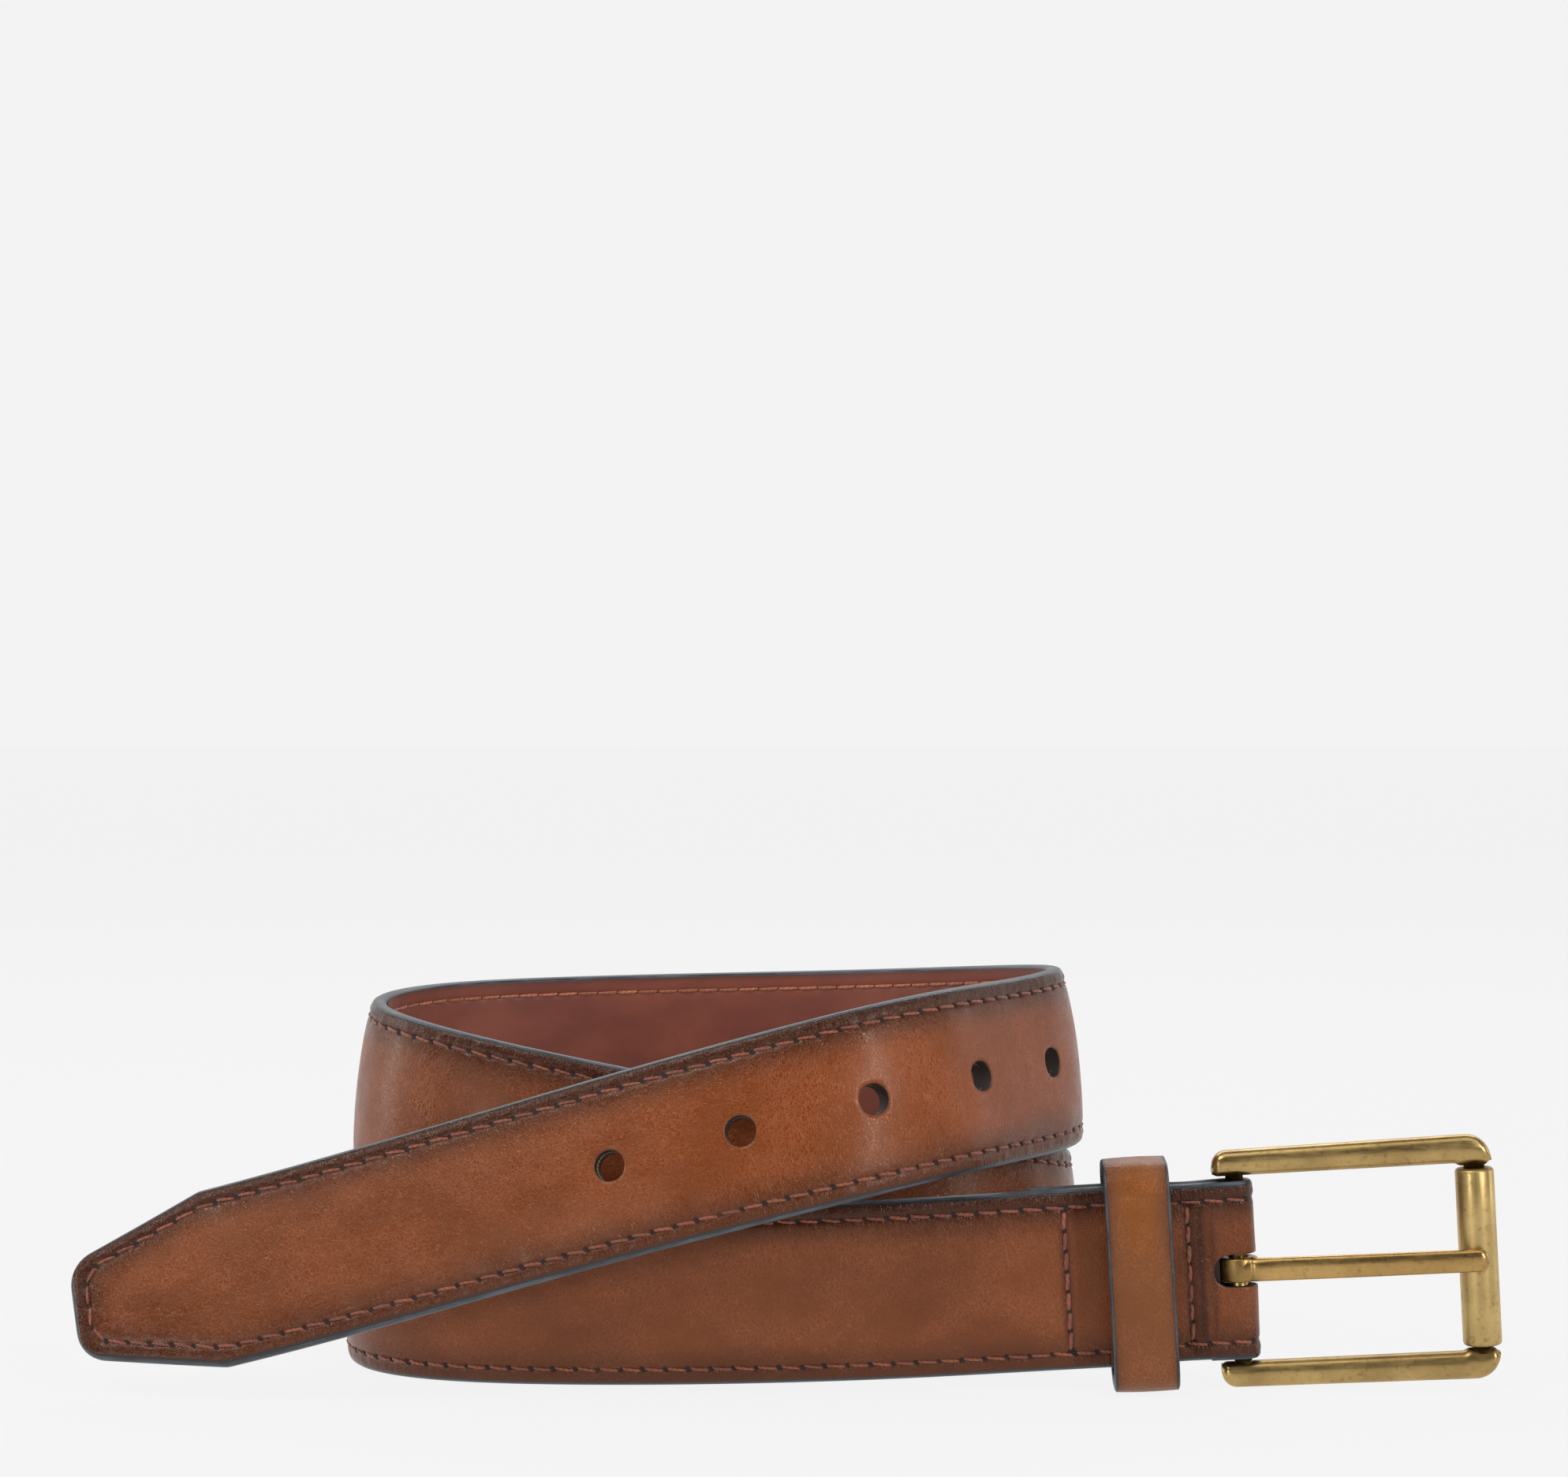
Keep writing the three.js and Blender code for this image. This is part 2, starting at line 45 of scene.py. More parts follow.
FOLD_WIDTH = 34.0
FACE_PLY = 1.5
BACK = 3.0
CROWN = 1.3
FOLD_RADIUS = 3.35
RETURN_LENGTH = 43.0
RETURN_SETTLE = 13.0
TAPER_LENGTH = 27.5
TAPER_ANGLE = math.radians(16.5)
TIP_RADIUS = 6.5
HOLE_PITCH = 25.4
HOLE_RADIUS = 2.9
FIRST_HOLE = 107.2
SLOT_RADIUS = 3.1
SLOT_REACH = 8.2
MARGIN = 3.4
PITCH = 4.3
CROSS_AT = (12.9, 36.2)
FACE_INSET = 0.55
LINING_LAP = 8
LINING_ROUND = 0.8
WIDEN_FROM, WIDEN_TO = 13, 26
CROWN_FULL_AT = 40
EDGE_CROWN = 0.12

# Centre line of the strap: x, y, z and its lean in degrees, from the buckle end to the tip.
ROUTE = np.array([
    (90, -1, 23.3, 0), (72, -0.5, 22.3, -1), (50, 0, 20.9, -3), (22, 0, 19.1, -4),
    (-10, 0, 18.1, -4), (-42, 0.5, 17.9, -3), (-70, 6, 17.8, -2), (-86.5, 22, 17.7, -1),
    (-87.5, 50, 17.7, 0), (-72, 70, 17.8, 0), (-42, 78, 18, 0), (-8, 80, 18.5, 0),
    (25, 77, 19.5, 0), (49, 67, 20.8, 0), (59.5, 45, 22.8, 0), (54, 22, 26, 2),
    (32, 10, 30.8, 4), (0, 8, 37, 6), (-32, 9, 43.2, 8), (-60, 12, 48.5, 8),
    (-81, 24, 52.7, 7), (-86.5, 48, 54, 6), (-73, 69, 54.6, 5), (-44, 79, 54.8, 4),
    (-10, 82, 55.3, 4), (22, 79, 56.2, 4), (53.5, 60.5, 59, 4), (60, 33.5, 60.9, 7.5),
    (47.5, 16, 59.9, 11), (34.5, -4.5, 60.4, 13), (11, -19, 56.8, 14.5), (-21.5, -17.5, 48.4, 16.5),
    (-59, -10, 36.8, 19.5), (-98, -6.5, 25.1, 22.5), (-134.8, -4, 16.1, 25),
], float)


# ---------------------------------------------------------------- the strap's path
def spline(t):
    """Uniform cubic B-spline through the clamped ends of the route, t from 0 to 1."""
    control = np.vstack([2 * ROUTE[0] - ROUTE[1], ROUTE, 2 * ROUTE[-1] - ROUTE[-2]])
    last = len(ROUTE) - 1
    first = np.minimum((t * last).astype(int), last - 1)
    f = (t * last - first)[:, None]
    a, b, c, d = (control[first + k] for k in range(4))
    return ((1 - f) ** 3 * a + (3 * f**3 - 6 * f**2 + 4) * b
            + (-3 * f**3 + 3 * f**2 + 3 * f + 1) * c + f**3 * d) / 6


TABLE_T = np.linspace(0, 1, 20001)
TABLE_P = spline(TABLE_T)
TABLE_S = np.concatenate([[0], np.cumsum(np.linalg.norm(np.diff(TABLE_P[:, :3], axis=0), axis=1))])
LENGTH = TABLE_S[-1]


def unit(v):
    return v / np.linalg.norm(v, axis=-1, keepdims=True)


def stations(s):
    """Point, direction, face normal and upward axis of the strap at distances from the fold."""
    s = np.asarray(s, float)
    flat_s = np.clip(s.ravel(), 0, LENGTH)
    t = np.interp(flat_s, TABLE_S, TABLE_T)
    q = spline(t)
    step = 2e-4
    lo, hi = np.clip(t - step, 0, 1), np.clip(t + step, 0, 1)
    along = unit(spline(hi)[:, :3] - spline(lo)[:, :3])
    lean = np.radians(q[:, 3])[:, None]
    flat = unit(np.cross([0, 0, 1.0], along))
    upright = np.cross(along, flat)
    across = upright * np.cos(lean) - flat * np.sin(lean)
    out = flat * np.cos(lean) + upright * np.sin(lean)
    shape = s.shape + (3,)
    return tuple(v.reshape(shape) for v in (q[:, :3], along, out, across))


def smooth(x, a, b):
    x = np.clip((x - a) / (b - a), 0, 1)
    return x * x * (3 - 2 * x)


def half_width(s, inset=0.0):
    """Half the strap's width at a distance from the fold, less an inset parallel to its outline."""
    s = np.asarray(s, float)
    from_tip = np.maximum(LENGTH - s, 0)
    slope = math.tan(TAPER_ANGLE)
    blunt = STRAP_WIDTH / 2 - slope * TAPER_LENGTH
    corner = blunt - TIP_RADIUS / math.tan(math.radians(45) + TAPER_ANGLE / 2)
    side = np.minimum(STRAP_WIDTH / 2 - inset, blunt + slope * from_tip - inset / math.cos(TAPER_ANGLE))
    r = TIP_RADIUS - inset
    round_ = corner + np.sqrt(np.maximum(r * r - (TIP_RADIUS - from_tip) ** 2, 0))
    tip = from_tip < TIP_RADIUS - r * math.sin(TAPER_ANGLE)
    narrow = (STRAP_WIDTH - FOLD_WIDTH) / 2 * (1 - smooth(s, WIDEN_FROM, WIDEN_TO))
    return np.where(tip, round_, side - narrow)


def crown(s, u):
    """Height of the domed face above the flat of its edges."""
    half = half_width(s)
    rise = (CROWN * smooth(s, FOLD_RADIUS, CROWN_FULL_AT) + EDGE_CROWN) * (half / (STRAP_WIDTH / 2)) ** 2
    return rise * (1 - np.clip(np.abs(u) / half, 0, 1) ** 2)


def return_height(s):
    start = -2 * FOLD_RADIUS + FACE_PLY
    return start + (-BACK - 0.1 - start) * smooth(s, FOLD_RADIUS, RETURN_SETTLE)


def ply_frame(q):
    """For a distance along the face leather, negative past the fold: strap distance, height and side."""
    q = np.asarray(q, float)
    turn = np.clip((FOLD_RADIUS - q) / FOLD_RADIUS, 0, math.pi)
    back = FOLD_RADIUS * math.pi
    on_arc = (q < FOLD_RADIUS) & (q > FOLD_RADIUS - back)
    on_return = q <= FOLD_RADIUS - back
    s = np.where(on_return, FOLD_RADIUS + (FOLD_RADIUS - back - q), np.where(on_arc, FOLD_RADIUS, q))
    return s, turn, on_return


def on_ply(q, u, lift=0.0):
    """Point of the face leather's outside at ply distance q and offset u, raised by lift along its normal."""
    q, u, lift = np.broadcast_arrays(np.asarray(q, float), np.asarray(u, float), np.asarray(lift, float))
    s, turn, on_return = ply_frame(q)
    point, along, out, across = stations(s)
    domed = (crown(np.maximum(q, 0), u) * (turn == 0)
             + crown(FOLD_RADIUS, u) * (turn > 0) * np.cos(turn / 2))
    height = np.where(on_return, return_height(s) - FACE_PLY, domed)
    radius = FOLD_RADIUS + height * (turn > 0) * (~on_return) + lift
    arc_out = radius * np.cos(turn) - FOLD_RADIUS
    arc_along = -radius * np.sin(turn)
    flat_out = height + np.where(on_return, -lift, lift)
    arc = (turn > 0) & ~on_return
    v = np.where(arc, arc_out, flat_out)[..., None]
    w = np.where(arc, arc_along, 0)[..., None]
    return point + across * u[..., None] + out * v + along * w


def on_back(s, u, lift=0.0):
    """Point of the lining's inside face, raised by lift away from the leather."""
    s, u, lift = np.broadcast_arrays(np.asarray(s, float), np.asarray(u, float), np.asarray(lift, float))
    point, _, out, across = stations(s)
    return point + across * u[..., None] - out * (BACK + lift)[..., None]


def outline(start, inset, step=0.5):
    """Distance and offset pairs parallel to the strap's edge, up one side, round the tip and back."""
    s = np.arange(start, LENGTH - TIP_RADIUS, step)
    side = np.stack([s, half_width(s, inset)], 1)
    blunt = STRAP_WIDTH / 2 - math.tan(TAPER_ANGLE) * TAPER_LENGTH
    corner = blunt - TIP_RADIUS / math.tan(math.radians(45) + TAPER_ANGLE / 2)
    angle = np.linspace(0.02, math.pi / 2, 24)
    r = TIP_RADIUS - inset
    turn = np.stack([LENGTH - TIP_RADIUS + r * np.sin(angle), corner + r * np.cos(angle)], 1)
    turn[:, 1] = half_width(turn[:, 0], inset)
    turn[-1, 1] = corner
    half = np.vstack([side, turn])
    across = np.linspace(corner, -corner, 12)[1:-1]
    end = np.stack([np.full(len(across), LENGTH - inset), across], 1)
    return np.vstack([half, end, half[::-1] * [1, -1]])


def resample(path, step):
    """Points at equal steps along a path, and the unit direction there."""
    length = np.concatenate([[0], np.cumsum(np.linalg.norm(np.diff(path, axis=0), axis=1))])
    count = max(int(round(length[-1] / step)), 1)
    at = np.linspace(0, length[-1], count + 1)
    points = np.stack([np.interp(at, length, path[:, k]) for k in range(path.shape[1])], 1)
    before, after = (
        np.stack([np.interp(np.clip(at + d, 0, length[-1]), length, path[:, k])
                  for k in range(path.shape[1])], 1)
        for d in (-0.3, 0.3))
    return points, unit(after - before)


# ---------------------------------------------------------------- mesh helpers
def make(name, points, faces, material, body, node=None, uv=None, layers=None, shade=True):
    """A mesh piece from millimetre points; layers are named per-point values for its material."""
    mesh = bpy.data.meshes.new(name)
    points = (np.asarray(points, float).reshape(-1, 3) + ORIGIN) / 1000
    mesh.from_pydata(points.tolist(), [], [tuple(map(int, f)) for f in faces])
    mesh.validate()
    loops = np.empty(len(mesh.loops), int)
    mesh.loops.foreach_get("vertex_index", loops)
    if uv is not None:
        layer = mesh.uv_layers.new(name="strap")
        layer.data.foreach_set("uv", np.asarray(uv, float).reshape(-1, 2)[loops].ravel() / 1000)
    for key, values in (layers or {}).items():
        attribute = mesh.attributes.new(key, "FLOAT", "POINT")
        attribute.data.foreach_set("value", np.asarray(values, float).ravel())
    if shade:
        mesh.shade_smooth()
    mesh.materials.append(material)
    obj = bpy.data.objects.new(name, mesh)
    bpy.context.scene.collection.objects.link(obj)
    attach(obj, body)
    if node:
        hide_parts(node)
    return obj


def grid_faces(rows, columns, close_rows=False, close_columns=False, keep=None):
    i = np.arange(rows if close_rows else rows - 1)
    j = np.arange(columns if close_columns else columns - 1)
    i, j = np.meshgrid(i, j, indexing="ij")
    if keep is not None:
        i, j = i[keep], j[keep]
    i, j = i.ravel(), j.ravel()
    k, m = (i + 1) % rows, (j + 1) % columns
    return np.stack([i * columns + j, k * columns + j, k * columns + m, i * columns + m], 1)


def tube(rings, caps=True, closed=False, flip=False):
    """Faces of a tube through equal rings of points, as one array of points and a list of faces."""
    rows, columns = len(rings), len(rings[0])
    faces = [tuple(f) for f in grid_faces(rows, columns, close_rows=closed, close_columns=True)]
    if caps and not closed:
        faces.append(tuple(range(columns))[::-1])
        faces.append(tuple(range((rows - 1) * columns, rows * columns)))
    if not flip:
        faces = [f[::-1] for f in faces]
    return np.concatenate(rings), faces


def merge(parts):
    """Several (points, faces, value) pieces as one."""
    points, faces, values, base = [], [], [], 0
    for p, f, value in parts:
        points.append(p)
        faces += [tuple(int(k) + base for k in g) for g in f]
        values.append(np.full(len(p), value, float))
        base += len(p)
    return np.concatenate(points), faces, np.concatenate(values)


# ---------------------------------------------------------------- materials
def material(name):
    m = bpy.data.materials.new(name)
    m.use_nodes = True
    return m, m.node_tree, m.node_tree.nodes["Principled BSDF"]


def node(tree, kind, values=None, links=None, **settings):
    n = tree.nodes.new(kind)
    for key, value in settings.items():
        setattr(n, key, value)
    for key, value in (values or {}).items():
        n.inputs[key].default_value = value
    for key, source in (links or {}).items():
        tree.links.new(source, n.inputs[key])
    return n


def mix_color(tree, factor, a, b):
    n = node(tree, "ShaderNodeMix", data_type="RGBA")
    for socket, value in ((n.inputs[0], factor), (n.inputs[6], a), (n.inputs[7], b)):
        if isinstance(value, bpy.types.NodeSocket):
            tree.links.new(value, socket)
        else:
            socket.default_value = value
    return n.outputs[2]


def math_node(tree, operation, a, b=0.0, clamp=False):
    n = node(tree, "ShaderNodeMath", operation=operation, use_clamp=clamp)
    for socket, value in ((n.inputs[0], a), (n.inputs[1], b)):
        if isinstance(value, bpy.types.NodeSocket):
            tree.links.new(value, socket)
        else:
            socket.default_value = value
    return n.outputs[0]


def ramp(tree, source, low, high, a=0.0, b=1.0):
    n = node(tree, "ShaderNodeMapRange", {"From Min": low, "From Max": high, "To Min": a, "To Max": b},
             {"Value": source}, interpolation_type="SMOOTHSTEP")
    return n.outputs["Result"]


def strap_uv(tree, scale=(1, 1, 1)):
    uv = node(tree, "ShaderNodeUVMap", uv_map="strap")
    return node(tree, "ShaderNodeMapping", {"Scale": scale}, {"Vector": uv.outputs[0]}).outputs[0]


def noise(tree, vector, scale, detail=3.0, rough=0.55, distortion=0.0):
    n = node(tree, "ShaderNodeTexNoise", {"Scale": scale, "Detail": detail, "Roughness": rough,
                                          "Distortion": distortion}, {"Vector": vector})
    return n.outputs["Fac"]


def strap_noise(tree, along, across, detail=3.0, rough=0.55, distortion=0.0):
    """Noise laid out on the strap, with its own fineness along and across it."""
    return noise(tree, strap_uv(tree, (along, across, 1)), 1.0, detail, rough, distortion)


def value_of(tree, name):
    return node(tree, "ShaderNodeAttribute", attribute_name=name, attribute_type="GEOMETRY").outputs["Fac"]


def times(tree, a, b, clamp=False):
    return math_node(tree, "MULTIPLY", a, b, clamp)


def add_up(tree, *terms):
    """Sum of (value, weight) pairs."""
    total = None
    for value, weight in terms:
        part = value if weight == 1 else times(tree, value, weight)
        total = part if total is None else math_node(tree, "ADD", total, part)
    return total


def add_bump(tree, shader, height, strength, distance):
    bump = node(tree, "ShaderNodeBump", {"Strength": strength, "Distance": distance}, {"Height": height})
    tree.links.new(bump.outputs[0], shader.inputs["Normal"])


def srgb(r, g, b):
    """Linear colour from 0-255 display values."""
    c = np.array([r, g, b]) / 255
    lin = np.where(c <= 0.04045, c / 12.92, ((c + 0.055) / 1.055) ** 2.4)
    return (*lin.tolist(), 1.0)


CREASE_CELLS, FINE_CELLS = 1750.0, 3300.0
PAINT_TINT = srgb(42, 44, 48)
LINING_RIM = srgb(46, 30, 28)
SPECK, PATINA = srgb(92, 72, 42), srgb(70, 52, 30)


def face_leather(name, base, deep, gold, edge, stretch=(1.0, 0.62), gloss=0.29):
    """Burnished full-grain leather: fine creases lighter than the skin, darker towards the edges."""
    m, tree, shader = material(name)
    flat = strap_uv(tree)
    warp = node(tree, "ShaderNodeTexNoise", {"Scale": 420.0, "Detail": 2.0}, {"Vector": flat})
    shifted = node(tree, "ShaderNodeVectorMath", {1: (0.0022, 0.0022, 0)}, {0: warp.outputs["Color"]},
                   operation="MULTIPLY")
    joined = node(tree, "ShaderNodeVectorMath", {}, {0: flat, 1: shifted.outputs[0]}, operation="ADD")
    cells_at = node(tree, "ShaderNodeMapping", {"Scale": (*stretch, 1)}, {"Vector": joined.outputs[0]})

    def creases(scale, low, high):
        cells = node(tree, "ShaderNodeTexVoronoi", {"Scale": scale}, {"Vector": cells_at.outputs[0]},
                     feature="DISTANCE_TO_EDGE")
        return ramp(tree, cells.outputs["Distance"], low, high, 1.0, 0.0)

    crease = creases(CREASE_CELLS, 0.01, 0.13)
    fine_crease = creases(FINE_CELLS, 0.02, 0.2)
    long_wrinkle = strap_noise(tree, 900, 150, 4.0, 0.6, 0.6)
    cloud = strap_noise(tree, 38, 60, 4.0)
    spots = strap_noise(tree, 260, 260, rough=0.6)
    patchy = ramp(tree, strap_noise(tree, 70, 90, 2.0), 0.35, 0.65, 0.25, 1.0)
    lines = times(tree, math_node(tree, "MAXIMUM", crease, times(tree, fine_crease, 0.45)), patchy)
    rim = value_of(tree, "rim")
    pucker = times(tree, strap_noise(tree, 1300, 190, rough=0.6), value_of(tree, "pucker"))

    tint = mix_color(tree, ramp(tree, cloud, 0.25, 0.62), deep, base)
    tint = mix_color(tree, times(tree, ramp(tree, value_of(tree, "gold"), 0.0, 1.0), 0.8), tint, gold)
    tint = mix_color(tree, times(tree, ramp(tree, spots, 0.45, 0.75), 0.15), tint, deep)
    pale = node(tree, "ShaderNodeHueSaturation", {"Saturation": 0.94, "Value": 1.65}, {"Color": tint})
    tint = mix_color(tree, times(tree, lines, 0.95), tint, pale.outputs[0])
    # The rim attribute darkens towards the edge colour: the margins' own tone, and on the strap also painted shade in
    # two creases near the fold.
    tint = mix_color(tree, times(tree, rim, 0.92, clamp=True), tint, edge)
    tint = mix_color(tree, value_of(tree, "painted"), tint, PAINT_TINT)
    shader.inputs["Base Color"].default_value = base
    tree.links.new(tint, shader.inputs["Base Color"])
    uneven_gloss = ramp(tree, spots, 0.3, 0.7, gloss - 0.05, gloss + 0.07)
    roughness = add_up(tree, (uneven_gloss, 1), (lines, 0.10), (rim, -0.08))
    tree.links.new(roughness, shader.inputs["Roughness"])
    shader.inputs["IOR"].default_value = 1.5
    shader.inputs["Specular IOR Level"].default_value = 0.38
    shader.inputs["Specular Tint"].default_value = (1.0, 0.74, 0.54, 1.0)
    shader.inputs["Coat Weight"].default_value = 0.08
    shader.inputs["Coat Roughness"].default_value = 0.24
    height = add_up(tree, (crease, -0.6), (fine_crease, -0.3), (long_wrinkle, 0.9), (spots, 0.7), (pucker, 5.0))
    add_bump(tree, shader, height, 0.42, 0.00012)
    return m


def lining_leather(name, light, dark):
    m, tree, shader = material(name)
    cloud = strap_noise(tree, 45, 80, 4.0, 0.6)
    grain = strap_noise(tree, 1500, 1100, 4.0, 0.65)
    pores = node(tree, "ShaderNodeTexVoronoi", {"Scale": 1500.0}, {"Vector": strap_uv(tree)})
    tint = mix_color(tree, ramp(tree, cloud, 0.35, 0.68), dark, light)
    tint = mix_color(tree, ramp(tree, pores.outputs["Distance"], 0.0, 0.28, 0.22, 0.0), tint, dark)
    tint = mix_color(tree, times(tree, value_of(tree, "rim"), 0.9, clamp=True), tint, LINING_RIM)
    tree.links.new(tint, shader.inputs["Base Color"])
    tree.links.new(ramp(tree, grain, 0.3, 0.7, 0.48, 0.6), shader.inputs["Roughness"])
    shader.inputs["Sheen Weight"].default_value = 0.12
    shader.inputs["Sheen Roughness"].default_value = 0.5
    add_bump(tree, shader, grain, 0.35, 0.00008)
    return m


def edge_paint(name):
    m, tree, shader = material(name)
    uneven = strap_noise(tree, 120, 500, 4.0, 0.6)
    tint = mix_color(tree, ramp(tree, uneven, 0.35, 0.7), srgb(38, 42, 48), srgb(72, 80, 88))
    tree.links.new(tint, shader.inputs["Base Color"])
    tree.links.new(ramp(tree, uneven, 0.3, 0.7, 0.34, 0.5), shader.inputs["Roughness"])
    add_bump(tree, shader, uneven, 0.4, 0.0001)
    return m


def thread_material(name, light, dark):
    """Waxed thread: fine twist along each stitch, a little different from stitch to stitch."""
    m, tree, shader = material(name)
    twist = node(tree, "ShaderNodeTexWave", {"Scale": 520.0, "Distortion": 1.2, "Detail": 2.0},
                 {"Vector": strap_uv(tree, (1, 0.8, 1))}, wave_type="BANDS", bands_direction="DIAGONAL")
    tint = mix_color(tree, value_of(tree, "tone"), dark, light)
    tint = mix_color(tree, ramp(tree, twist.outputs["Fac"], 0.2, 0.75, 0.5, 0.0), tint, dark)
    tree.links.new(tint, shader.inputs["Base Color"])
    shader.inputs["Roughness"].default_value = 0.6
    shader.inputs["Sheen Weight"].default_value = 0.25
    add_bump(tree, shader, twist.outputs["Fac"], 0.8, 0.00012)
    return m


def antique_brass(name, light, dark, grain, roughness):
    """Satin brass with a thin brown patina and a fine brushed grain."""
    m, tree, shader = material(name)
    where = node(tree, "ShaderNodeTexCoord").outputs["Object"]
    cloud = noise(tree, where, 95.0, 5.0, 0.62)
    speck = noise(tree, where, 900.0, 3.0, 0.6)
    brushed_at = node(tree, "ShaderNodeMapping", {"Scale": grain}, {"Vector": where}).outputs[0]
    brushed = noise(tree, brushed_at, 1.0, 3.0, 0.6)
    worn = value_of(tree, "wear")
    tint = mix_color(tree, ramp(tree, cloud, 0.3, 0.72, 0.35, 1.0), dark, light)
    tint = mix_color(tree, ramp(tree, speck, 0.52, 0.78, 0.0, 0.5), tint, SPECK)
    tint = mix_color(tree, times(tree, worn, 0.7, clamp=True), tint, PATINA)
    tree.links.new(tint, shader.inputs["Base Color"])
    shader.inputs["Metallic"].default_value = 1.0
    satin = ramp(tree, brushed, 0.25, 0.75, roughness - 0.05, roughness + 0.08)
    tree.links.new(add_up(tree, (satin, 1), (worn, 0.2)), shader.inputs["Roughness"])
    add_bump(tree, shader, add_up(tree, (brushed, 1), (speck, 0.6)), 0.22, 0.00006)
    return m


def matt(name, color, roughness):
    """Dull material of one colour, too small to show a grain, for cut walls and needle holes; both are coloured near
    black as painted shade.
    """
    m, _, shader = material(name)
    shader.inputs["Base Color"].default_value = color
    shader.inputs["Roughness"].default_value = roughness
    return m


FACE = face_leather("face_leather", srgb(108, 54, 24), srgb(95, 46, 22), srgb(116, 50, 3), srgb(48, 15, 8))
KEEPER_FACE = face_leather("keeper_leather", srgb(112, 62, 30), srgb(102, 54, 26), srgb(124, 66, 14),
                           srgb(52, 28, 20), stretch=(0.8, 1.0), gloss=0.34)
LINING = lining_leather("lining_leather", srgb(131, 67, 49), srgb(113, 55, 40))
PAINT = edge_paint("edge_paint")
THREAD = thread_material("face_thread", srgb(148, 76, 46), srgb(98, 44, 26))
BACK_THREAD = thread_material("lining_thread", srgb(190, 112, 68), srgb(132, 70, 40))
# Painted shade: the cut walls' colour is made near black for the shade inside the holes and the slot; the fold's shade
# block uses it too.
CUT_WALL_AND_SHADE = matt("cut_wall_and_shade", srgb(44, 30, 24), 0.75)
# Painted shade: near-black colour of the needle holes, standing in for the shade down in each hole.
PIT = matt("stitch_hole_shade", srgb(30, 15, 12), 0.8)
BRASS = antique_brass("antique_brass", srgb(190, 160, 104), srgb(144, 118, 74), (160, 1400, 1400), 0.31)
ROLLER_BRASS = antique_brass("roller_brass", srgb(202, 174, 116), srgb(166, 140, 90), (1600, 1600, 220), 0.36)
PRONG_BRASS = antique_brass("prong_brass", srgb(198, 162, 102), srgb(156, 122, 72), (160, 1400, 1400), 0.28)

# ---------------------------------------------------------------- sewing positions
seam, seam_way = resample(outline(1.2, MARGIN), PITCH)
CROSS_ROWS = []
for at in CROSS_AT:
    reach = float(half_width(at)) - MARGIN - 0.6
    row = np.stack([np.full(8, at), np.linspace(-reach, reach, 8)], 1)
    CROSS_ROWS.append(row)
dense_row, _ = resample(outline(-4, MARGIN), 0.5)
dense_cross = np.concatenate([resample(r, 0.5)[0] for r in CROSS_ROWS])


def bell(x, width):
    return np.exp(-((x / width) ** 2))


def nearest(cloud, points):
    """Distance from each (s, u) point to the nearest point of a cloud."""
    tree = KDTree(len(cloud))
    for i, (a, b) in enumerate(cloud):
        tree.insert((a, b, 0), i)
    tree.balance()
    return np.array([tree.find((a, b, 0))[2] for a, b in points])


# ---------------------------------------------------------------- strap face
ROW_STEP = HOLE_PITCH / 40
COLUMNS = np.array([0, 0.9, 1.8, 2.7, 3.6, 4.6, 5.8, 7.0, 8.2, 9.4, 10.5, 11.5, 12.3, 12.9, 13.3, 13.6,
                    13.85, 14.1, 14.35, 14.6, 14.9, 15.3, 15.7, 16.1, 16.45, 16.75, 16.95])
COLUMNS = np.concatenate([-COLUMNS[:0:-1], COLUMNS])
HOLES = LENGTH - FIRST_HOLE - HOLE_PITCH * np.arange(5)
CORE_U = 2.7
CORE_Q = 4 * ROW_STEP
SPREAD = 2.4
LIP_SPAN = 0.5
SKIRT = 0.9
GOLD_AT, GOLD_SPAN = 165, 62
SWELL_WAVES = [(0.21, 0.16), (0.37, 0.23), (0.13, 0.31), (0.53, 0.4), (0.09, 0.1), (0.71, 0.2)]
TUG_WAVES = [1.46, 2.3, 3.1, 0.8]


def strap_grid(start, end):
    """Rows in step with the punched holes, and the columns scaled to the strap's width."""
    first = math.ceil((start - HOLES[0]) / ROW_STEP)
    last = math.floor((end - HOLES[0]) / ROW_STEP)
    q = HOLES[0] + ROW_STEP * np.arange(first, last + 1)
    q = np.concatenate([[start], q[(q > start + 0.2) & (q < end - 0.15)], [end]])
    s, _, _ = ply_frame(q)
    scale = half_width(np.maximum(s, 0), FACE_INSET) / COLUMNS[-1]
    grid_q, grid_c = np.meshgrid(q, COLUMNS, indexing="ij")
    return grid_q, grid_c * scale[:, None], grid_c


def open_round(q, u, c, centre, radius, one_sided=0):
    """Grid points moved so that a round hole opens, and how far each is from its rim (1 on the rim).

    With one_sided 1 or -1 only that half is round, and the hole runs on as a slot the other way.
    """
    a = (q - centre) / CORE_Q
    b = c / CORE_U
    if one_sided:
        a = np.maximum(a * one_sided, 0) * one_sided
    far = np.maximum(np.abs(a), np.abs(b))
    angle = np.arctan2(b, a)
    ring_q = centre + radius * np.cos(angle)
    ring_u = radius * np.sin(angle)
    if one_sided:
        straight = a == 0
        ring_q = np.where(straight, q, ring_q)
        ring_u = np.where(straight, np.sign(b) * radius, ring_u)
    mix = np.clip((far - 1) / (SPREAD - 1), 0, 1)
    touch = (far >= 1 - 1e-6) & (far < SPREAD)
    new_q = np.where(touch, ring_q * (1 - mix) + q * mix, q)
    new_u = np.where(touch, ring_u * (1 - mix) + u * mix, u)
    return new_q, new_u, far


def open_at(grid, centre, radius, near, one_sided=0):
    """The grid (q, u, c, inside, lip) with one more opening, changed only where near is true."""
    q, u, c, inside, lip = grid
    new_q, new_u, far = open_round(q, u, c, centre, radius, one_sided)
    near_rim = np.clip(1 - (far - 1) / LIP_SPAN, 0, 1)
    return (np.where(near, new_q, q), np.where(near, new_u, u), c, inside | (near & (far <= 1 + 1e-6)),
            np.where(near, np.maximum(lip, near_rim), lip))


